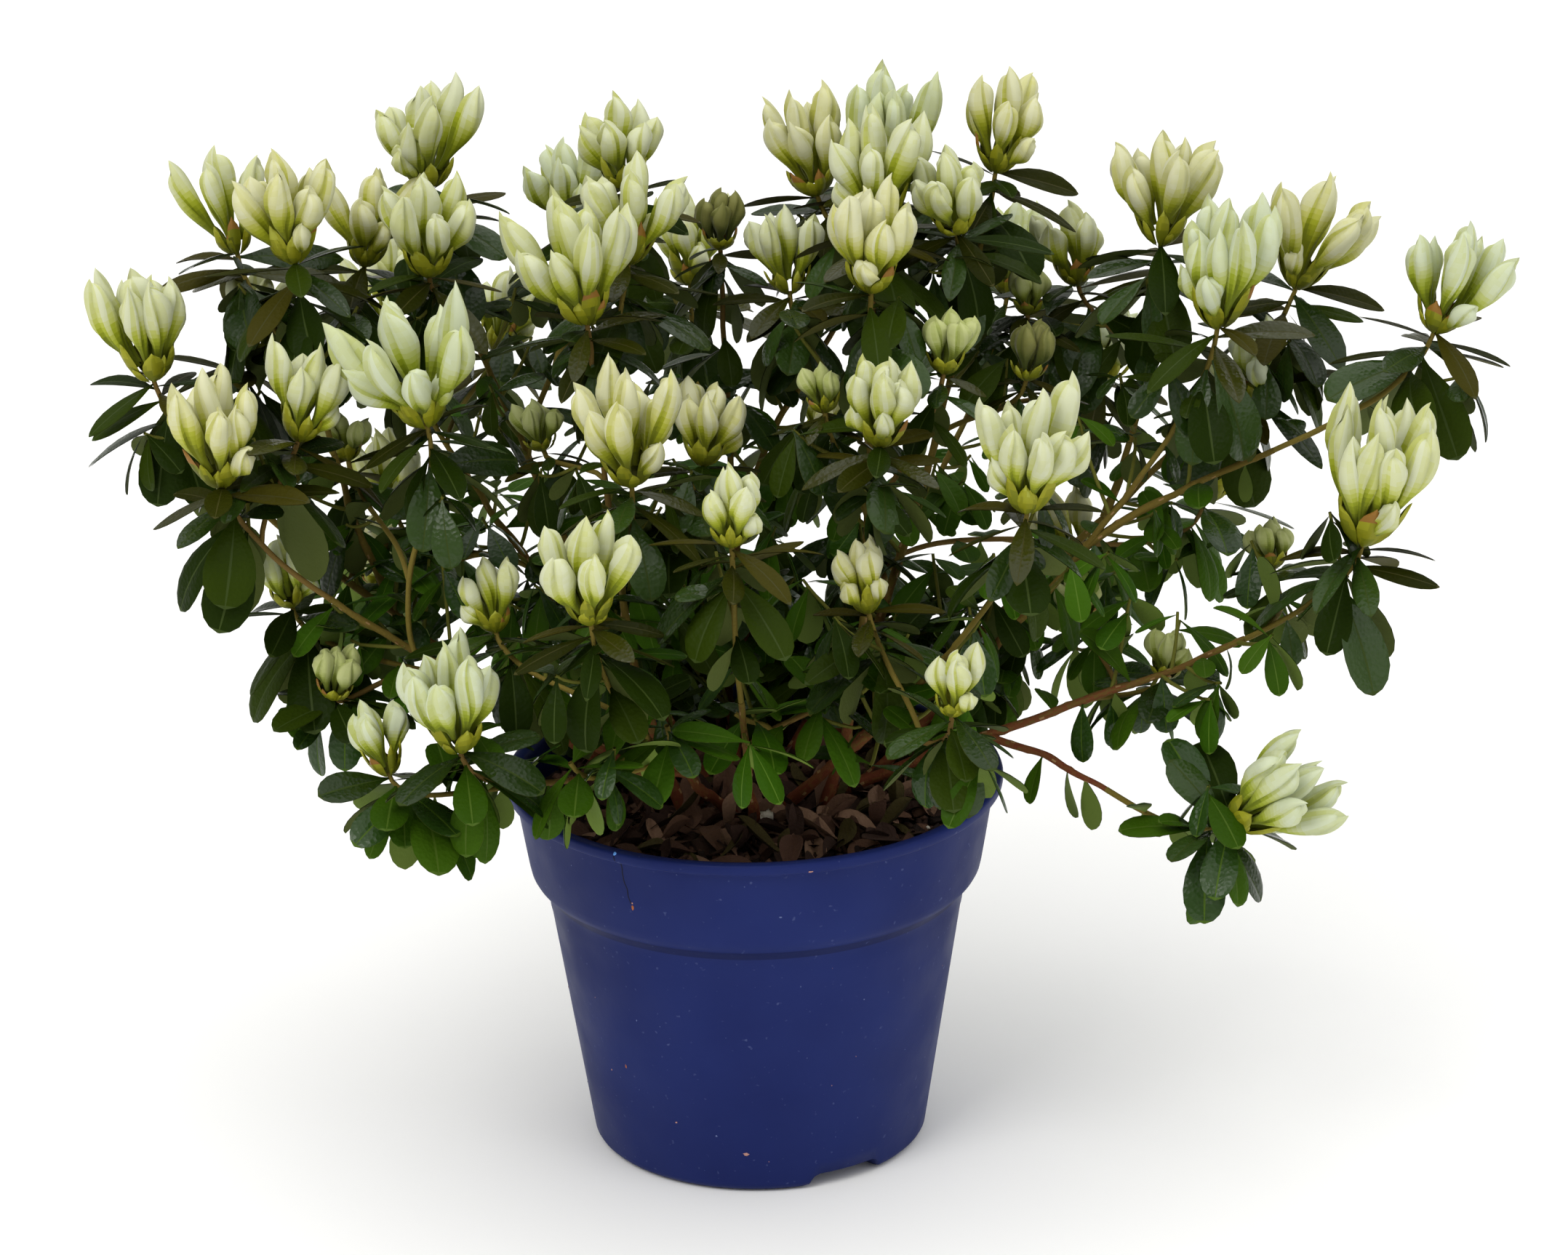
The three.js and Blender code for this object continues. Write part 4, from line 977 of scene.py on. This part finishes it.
    def dress_limb(self, limb):
        """A stem's or bough's lone leaves past the pot's rim, and its short leafy shoots"""
        draw, path, neck = self.draw, limb.path, limb.neck
        shares = np.linspace(0, neck, 60)
        reach = np.linalg.norm(path.points(shares)[:, :2], axis=1)
        if reach[-1] > PAST_RIM:
            first = shares[np.argmax(reach > PAST_RIM)]
            self.lone_leaves(path, first, neck, LIMB_LEAF_STEP, LIMB_LEAF_SIZE, "green")
        count = int(path.length * neck / LIMB_SHOOT_STEP)
        for k in range(count):
            share = neck * (LIMB_BARE_SHARE + (1 - LIMB_BARE_SHARE) * (k + draw.random()) / count)
            root = path.points(share)
            level = root[2]
            behind = root[1] > BEHIND
            airy = in_open_air(root)
            kept = KEPT_OPEN if airy else KEPT_FRONT
            if behind and level < BEHIND_LOW:
                kept = KEPT_BEHIND_LOW
            if level < (BEHIND_LOWEST if behind else FRONT_LOWEST) or draw.random() > kept:
                continue
            outer = min(math.hypot(root[0], root[1]) / CROWN_REACH, 1)
            heading = self.side_heading(path, share, 0.6)
            family = "green" if level < GREEN_BELOW else "dark"
            if level < BRIGHT_BELOW and draw.random() < BRIGHT_SHARE:
                family = "bright"
            size = lerp(INNER_LEAF_SIZE, OUTER_LEAF_SIZE, outer) * (OPEN_SIZE if airy else 1)
            self.short_shoot(root, heading, LIMB_SHOOT_LENGTHS, 5, size, family)

    def hide_far_rim(self, limb):
        path = limb.path
        for share in np.arange(0.05, limb.neck, BACK_SHOOT_STEP / path.length):
            root = path.points(share)
            if root[1] > BACK_SHOOT_DEPTH and BACK_SHOOT_LOWEST < root[2] < BACK_SHOOT_HIGHEST:
                heading = self.side_heading(path, share, 0.2)
                # The dark family's tones stand in for the shade at the back of the plant: painted shade
                self.short_shoot(root, heading, BACK_SHOOT_LENGTHS, 5, LIMB_LEAF_SIZE, "dark")

    def build(self):
        self.twigs.finish()
        tops = []
        every_tone = [(family, tone) for family, tones in LEAF_TONES.items() for tone in tones]
        for i, (family, tone) in enumerate(every_tone):
            finish = "glossy_leaf" if i % GLOSSY_EVERY == GLOSSY_LEAF else "dull_leaf"
            tops.append(plain_material(f"leaf_{family}_{i}", tone, finish))
        ribs, unders = [
            [plain_material(f"{finish}_{family}", tones[family], finish) for family in FAMILIES]
            for finish, tones in (("leaf_rib", RIB_TONES), ("leaf_under", UNDER_TONES))
        ]
        sheaf = Sheaf("leaves", tops + ribs + unders, "foliage", [f"mass_{name}" for name in MASSES])
        first = np.cumsum([0] + [len(LEAF_TONES[family]) for family in FAMILIES])
        at_rib = np.arange(len(TOP_QUADS)) % (len(TOP_LANES) - 1) == RIB_LANE
        at_tip = np.arange(len(TOP_QUADS)) >= len(TOP_QUADS) - len(TOP_LANES) + 1
        for outline in (OBOVATE, LANCE):
            rows = [row for row in self.rows if row[9] is outline]
            top, under = leaf_sheets([row[:7] for row in rows], outline)
            families = np.array([FAMILIES.index(row[7]) for row in rows])
            tone = first[families] + np.array([row[8] for row in rows])
            looks = np.repeat(tone[:, None], len(TOP_QUADS), axis=1)
            looks[:, at_rib | at_tip] = (len(tops) + families)[:, None]
            sheaf.add(top, TOP_QUADS, looks)
            sheaf.add(under, UNDER_QUADS, (len(tops) + len(ribs) + families)[:, None])
        sheaf.finish()


def grow_foliage():
    foliage = Foliage()
    for shoot in SHOOTS:
        foliage.dress_shoot(shoot)
    for limb in LIMBS:
        foliage.dress_limb(limb)
    for limb in LIMBS:
        foliage.hide_far_rim(limb)
    foliage.build()


# Buds: spindles of furled petals on narrow stalks, cream above and yellow-green at the foot
BUD_ROWS = np.array([[*np.linspace(0, 0.84, 17), 0.89, 0.93, 0.965, 0.99, 1.0]]).T
BUD_FOOT = 0.08
BUD_STALK = 0.36
BUD_WIDEST = 0.6
PETALS = 3
PETAL_TURNS = np.radians([0, 20, 44, 72, 97, 112])
PETAL_LIFT = np.array([0, 0.45, 0.98, 0.9, 0.72, 1.0])
PETAL_GROOVE = np.array([0.8, 0.3, 0, 0.25, 0.2, 1.0])
PETAL_STEP = 0.42
PETAL_FLOOR = 0.8
BUD_BANDS = 22
BUD_TONES = {
    "cream": [(108, 118, 8), (132, 142, 12), (156, 165, 36), (178, 183, 90), (190, 194, 138),
              (197, 201, 168)],
    "mint": [(104, 116, 8), (128, 141, 14), (152, 164, 42), (174, 182, 96), (186, 193, 142),
              (193, 201, 170)],
    "ivory": [(112, 118, 8), (136, 142, 12), (160, 165, 36), (182, 182, 88), (194, 193, 136),
              (201, 201, 164)],
    "green": [(96, 108, 24), (108, 120, 30), (128, 140, 50), (150, 160, 82), (166, 174, 106),
              (176, 182, 122)],
    "closed": [(64, 72, 20), (72, 80, 26), (84, 90, 34), (96, 100, 44), (106, 108, 52), (114, 114, 58)],
}
BUD_FAMILIES = list(BUD_TONES)
OPEN_FAMILIES = ["cream", "cream", "mint", "ivory"]
CLOSED_MASSES = ("single", "inner_right")
FULL_TRUSS_BUDS = 7.4
COMPACT_TRUSS_BUDS = 5
TURN_STRAY = (-14, 14)
# The ranges of a bud's spread, its length as a share of its truss and its bow: in the middle of a
# truss, and round it, where the spread is a share of the truss's splay
CENTRAL_BUD = ((0, 6), (0.82, 0.92), (-0.01, 0.03))
RING_BUD = ((0.55, 1.25), (0.62, 0.92), (0.02, 0.07))
LEAST_RING_SPREAD = 5
BUD_WIDTHS = (7.8, 9.6)
BUD_RISES = (0.09, 0.15)
# The ranges of the lean, length and width of small outer buds, and of the turn between them
SMALL_BUD = ((28, 46), (0.4, 0.52), (6.4, 7.8))
SMALL_BUD_TURNS = (70, 130)
# The width of a ring of buds and of a cup of bracts before its buds are counted, and what each adds
RING_WIDTH = (2.3, 0.27)
CUP_WIDTH = (5.0, 0.5)
BRACT_FLARES = (-0.16, 0.12)
BRACT_SPREADS = (0.34, 0.6)
# A ring of the cup of bracts: how many, their least and greatest length and the ring's width
BRACT_RINGS = [(5, 0.17, 0.28, 0.84), (6, 0.28, 0.42, 1.0)]
BRACT_ROWS = np.array([[0, 0.12, 0.28, 0.48, 0.68, 0.85, 0.95, 1.0]]).T
BRACT_SHAPE = np.array([[0.6, 0.9, 1.0, 1.0, 0.86, 0.6, 0.34, 0.08]]).T
BRACT_BULGE = np.array([[0.26, 0.52, 0.74, 0.9, 0.99, 1.02, 1.02, 1.01]]).T
BRACT_LANES = np.linspace(-1, 1, 6)
BRACT_TONES = [(92, 96, 12), (112, 116, 14), (130, 130, 18), (144, 144, 28), (156, 158, 54), (138, 98, 38)]
BRACT_BROWN = len(BRACT_TONES) - 1
BROWN_SHARE = 0.16


def ramp(colours, count):
    """A row of colours that passes evenly through the given ones"""
    places = np.linspace(0, len(colours) - 1, count)
    channels = list(zip(*colours))
    return [[np.interp(place, range(len(colours)), channel) for channel in channels] for place in places]


def bud_girths(blunt):
    """The width of each bud along its height: a stalk, a swelling, and a tip as blunt as given"""
    swell = np.clip((BUD_ROWS - BUD_FOOT) / (BUD_WIDEST - BUD_FOOT), 0, 1)
    body = BUD_STALK + (1 - BUD_STALK) * swell**2 * (3 - 2 * swell)
    tip = np.clip((BUD_ROWS - BUD_WIDEST) / (1 - BUD_WIDEST), 0, 1)
    return body * (1 - tip**blunt)


def bud_grids(rows):
    """Many buds at once, each a closed spindle whose petals step over one another as they wind up"""
    base, axis, side, length, width, twist, bow, wave, blunt, hook = per_grid(rows)
    petal = np.repeat(np.arange(PETALS), len(PETAL_TURNS))
    seam = petal * 2 * np.pi / PETALS + np.tile(PETAL_TURNS, PETALS)
    angle = seam + twist * BUD_ROWS
    lift = np.tile(PETAL_LIFT, PETALS) * PETAL_STEP * np.clip(BUD_ROWS * 3, 0, 1)
    flat = 0.32 * BUD_ROWS**3 * np.cos(2 * (angle - wave))
    dents = 0.15 * np.sin(2 * angle + 6 * BUD_ROWS + wave) * np.sin(np.pi * BUD_ROWS)
    dents = dents + 0.08 * np.sin(4 * angle + 11 * BUD_ROWS + 2 * wave) * BUD_ROWS
    radius = bud_girths(blunt) * (PETAL_FLOOR + lift + flat + dents) * width / 2
    other = np.cross(axis, side)
    radial = np.cos(angle)[..., None] * side + np.sin(angle)[..., None] * other
    short = (0.01 + 0.13 * np.sin(wave + 2.1 * petal) ** 2) * BUD_ROWS**7
    height = (BUD_ROWS - short) * length
    bowed = bow * np.sin(np.pi * BUD_ROWS) * length
    hooked = hook * np.clip(BUD_ROWS / 0.45 - 1.2, 0, 1) ** 2 * length
    spine = base + bowed[..., None] * side + hooked[..., None] * other
    vertices = spine + height[..., None] * axis + radius[..., None] * radial
    return vertices.reshape(len(base), -1, 3), grid_quads(len(BUD_ROWS), len(seam), wrap=True)


def bract_grids(rows):
    """Scales that cup the foot of a truss, with ragged tips bent out by flare"""
    base, axis, out, length, width, flare, spread = per_grid(rows)
    turn = BRACT_LANES * BRACT_SHAPE * spread
    radius = (BRACT_BULGE + flare * BRACT_ROWS**3) * width * (1 + 0.07 * np.cos(np.pi * BRACT_LANES))
    lift = BRACT_ROWS * (1 - 0.12 * np.abs(BRACT_LANES) * BRACT_ROWS)
    vertices = base + (lift * length)[..., None] * axis
    vertices = vertices + (radius * np.cos(turn))[..., None] * out
    vertices = vertices + (radius * np.sin(turn))[..., None] * np.cross(axis, out)
    return vertices.reshape(len(base), -1, 3), grid_quads(len(BRACT_ROWS), len(BRACT_LANES))


def bud_looks(families, draw):
    """The tone of every face: greener to the foot and in the groove beside a petal's edge"""
    count, lanes = len(families), len(PETAL_TURNS)
    row, column = np.divmod(np.arange((len(BUD_ROWS) - 1) * PETALS * lanes), PETALS * lanes)
    rise = BUD_ROWS[row, 0]
    groove = PETAL_GROOVE[column % lanes] * np.clip(1.2 - rise, 0, 1)
    reach = draw.uniform(0.38, 0.6, (count, 1))
    level = np.clip((rise - BUD_FOOT) / reach, 0, 1) - 0.5 * groove
    streak = draw.uniform(-0.11, 0.11, (count, PETALS * lanes))[:, column]
    grain = draw.uniform(-0.04, 0.04, (count, len(row)))
    tint = draw.uniform(-0.1, 0.0, (count, 1))
    band = np.clip((level + streak + grain + tint) * BUD_BANDS, 0, BUD_BANDS - 1).astype(int)
    return families[:, None] * BUD_BANDS + band


def bract_looks(browns, quad_count, draw):
    """The tone of every face: paler to the tip, which is brown on some bracts"""
    rise = BRACT_ROWS[np.arange(quad_count) // (len(BRACT_LANES) - 1), 0]
    level = 0.6 + rise * 3.4 + draw.uniform(-1, 1.2, (len(browns), 1))
    level = level + draw.uniform(-0.5, 0.5, (len(browns), len(rise)))
    looks = np.clip(level, 0, BRACT_BROWN - 1).astype(int)
    return np.where(np.array(browns)[:, None] & (rise > 0.6), BRACT_BROWN, looks)


def bud_family(mass, shoot, draw):
    if mass.name in CLOSED_MASSES and shoot is mass.shoots[0]:
        return "closed"
    if shoot.truss < SMALL_TRUSS:
        return "green"
    return draw.choice(OPEN_FAMILIES)


def make_buds():
    """A truss on every budded shoot: a central bud, a ring of buds, small ones and a cup of bracts"""
    draw = np.random.default_rng(SEEDS["buds"])
    materials = [
        material for family in BUD_FAMILIES
        for material in shades(f"bud_{family}", ramp(BUD_TONES[family], BUD_BANDS), "bud")
    ]
    buds = Sheaf("buds", materials, "buds")
    bracts = Sheaf("bracts", shades("bract", BRACT_TONES, "bract"), "buds")
    rows, families, scales, browns = [], [], [], []

    def add_bud(tip, axis, out, lean, ring, rise, length, width, bow):
        heading = unit(axis * math.cos(lean) + out * math.sin(lean))
        side = unit(out - heading * np.dot(out, heading))
        twist = draw.choice([-1, 1]) * draw.uniform(0.7, 1.4)
        wave = draw.uniform(0, 6)
        blunt = draw.uniform(1.7, 3.4)
        hook = draw.uniform(-0.07, 0.07)
        root = tip + axis * rise + out * ring
        rows.append((root, heading, side, length, width, twist, bow, wave, blunt, hook))

    def make_truss(tip, axis, size, splay, family):
        tall = TRUSS_HEIGHT * size
        compact = size < SMALL_TRUSS
        stout = size**0.35
        full = COMPACT_TRUSS_BUDS if compact else round(FULL_TRUSS_BUDS * size + draw.uniform(-0.9, 0.9))
        start = draw.uniform(0, 360)
        for k in range(full):
            spreads, lengths, bows = RING_BUD if k else CENTRAL_BUD
            out = around(axis, start + k * 360 / (full - 1) + draw.uniform(*TURN_STRAY))
            spread = draw.uniform(*spreads)
            if k:
                spread = splay * spread + LEAST_RING_SPREAD
            ring = stout * (RING_WIDTH[0] + RING_WIDTH[1] * full) if k else 0
            length = tall * draw.uniform(*lengths)
            width = stout * draw.uniform(*BUD_WIDTHS)
            rise = tall * draw.uniform(*BUD_RISES)
            add_bud(tip, axis, out, math.radians(spread), ring, rise, length, width, draw.uniform(*bows))
        small = 0 if compact else int(draw.choice([0, 1, 1, 2]))
        for k in range(small):
            out = around(axis, start + 40 + k * draw.uniform(*SMALL_BUD_TURNS))
            lean, length, width = [draw.uniform(*sizes) for sizes in SMALL_BUD]
            ring, rise = stout * 3.8, tall * 0.05
            add_bud(tip, axis, out, math.radians(lean), ring, rise, tall * length, stout * width, 0.04)
        families.extend([BUD_FAMILIES.index(family)] * (full + small))
        cup = stout * (CUP_WIDTH[0] + CUP_WIDTH[1] * full)
        for ring, (count, low, high, share) in enumerate(BRACT_RINGS):
            for k in range(count):
                out = around(axis, start + (k + ring / 2) * 360 / count + draw.uniform(*TURN_STRAY))
                length = tall * draw.uniform(low, high)
                flare, spread = draw.uniform(*BRACT_FLARES), draw.uniform(*BRACT_SPREADS)
                root, heading = tip - axis * 1.2, unit(axis + out * 0.1)
                scales.append((root, heading, out, length, cup * share, flare, spread))
                browns.append(draw.random() < BROWN_SHARE)

    for mass in MASSES.values():
        for shoot in mass.shoots:
            if shoot.truss:
                family = bud_family(mass, shoot, draw)
                make_truss(shoot.tip, shoot.axis, shoot.truss, shoot.splay, family)
    grids, quads = bud_grids(rows)
    buds.add(grids, quads, bud_looks(np.array(families), draw))
    buds.finish()
    grids, quads = bract_grids(scales)
    bracts.add(grids, quads, bract_looks(browns, len(quads), draw))
    bracts.finish()


# Stage: a plain pale floor, soft studio lights, and the camera at the photograph's place
FLOOR_HALF = 6.0
FLOOR_COLOUR = (0.94, 0.94, 0.94, 1)
FLOOR_ROUGHNESS = 0.9
STUDIO_COLOUR = (1.0, 0.99, 0.95, 1)
STUDIO_STRENGTH = 0.5
# Each lamp's place, size, power and colour
LAMPS = {
    "key": ((-1.1, -1.5, 1.9), 1.2, 24, (1.0, 0.985, 0.96)),
    "fill": ((1.6, -1.2, 1.0), 1.4, 6, (0.96, 0.98, 1.0)),
}
LAMP_AIM = (0, 0, 0.25)
TOP_STRENGTH = 2.0
TOP_WIDTH = 100
TOP_TILT = (-8, 6, 0)
CAMERA_DISTANCE = 2200
CAMERA_PITCH = 20.6
CAMERA_ROLL = 0.9
CAMERA_TARGET = (12.2, 0, 205.6)
SENSOR_WIDTH = 36
PHOTO_WIDTH_PIXELS = 2156
FOCAL_PIXELS = 7997


def make_floor():
    mesh = bpy.data.meshes.new("floor")
    corners = [(-1, -1), (1, -1), (1, 1), (-1, 1)]
    mesh.from_pydata([(x * FLOOR_HALF, y * FLOOR_HALF, 0) for x, y in corners], [], [(0, 1, 2, 3)])
    floor = add_object("floor", mesh)
    material = bpy.data.materials.new("floor_paper")
    material.use_nodes = True
    shader = material.node_tree.nodes["Principled BSDF"]
    set_inputs(material.node_tree, shader, Base_Color=FLOOR_COLOUR, Roughness=FLOOR_ROUGHNESS)
    mesh.materials.append(material)


def make_lights():
    world = bpy.data.worlds.new("studio")
    world.use_nodes = True
    background = world.node_tree.nodes["Background"]
    set_inputs(world.node_tree, background, Color=STUDIO_COLOUR, Strength=STUDIO_STRENGTH)
    bpy.context.scene.world = world
    for name, (place, size, power, colour) in LAMPS.items():
        light = bpy.data.lights.new(name, "AREA")
        light.shape, light.size, light.energy, light.color = "SQUARE", size, power, colour
        lamp = add_object(name, light)
        lamp.location = place
        lamp.rotation_euler = (Vector(LAMP_AIM) - Vector(place)).to_track_quat("-Z", "Y").to_euler()
    sky = bpy.data.lights.new("top", "SUN")
    sky.energy, sky.angle = TOP_STRENGTH, math.radians(TOP_WIDTH)
    add_object("top", sky).rotation_euler = [math.radians(angle) for angle in TOP_TILT]


def make_camera():
    pitch, roll = math.radians(CAMERA_PITCH), math.radians(CAMERA_ROLL)
    ahead = Vector((0, math.cos(pitch), -math.sin(pitch)))
    right = Vector((1, 0, 0))
    up = right.cross(ahead)
    tilted_right = right * math.cos(roll) - up * math.sin(roll)
    tilted_up = up * math.cos(roll) + right * math.sin(roll)
    target = Vector(CAMERA_TARGET) * METRES + Vector((AXIS_X, AXIS_Y, 0))
    data = bpy.data.cameras.new("camera")
    data.lens, data.sensor_width = FOCAL_PIXELS / PHOTO_WIDTH_PIXELS * SENSOR_WIDTH, SENSOR_WIDTH
    camera = add_object("camera", data)
    turned = Matrix((tilted_right, tilted_up, -ahead)).transposed().to_4x4()
    turned.translation = target - ahead * CAMERA_DISTANCE * METRES
    camera.matrix_world = turned
    bpy.context.scene.camera = camera
    bpy.context.scene.view_settings.view_transform = "Standard"


make_pot()
make_pot_marks()
make_mulch()
make_limbs()
grow_foliage()
make_buds()
make_floor()
make_lights()
make_camera()
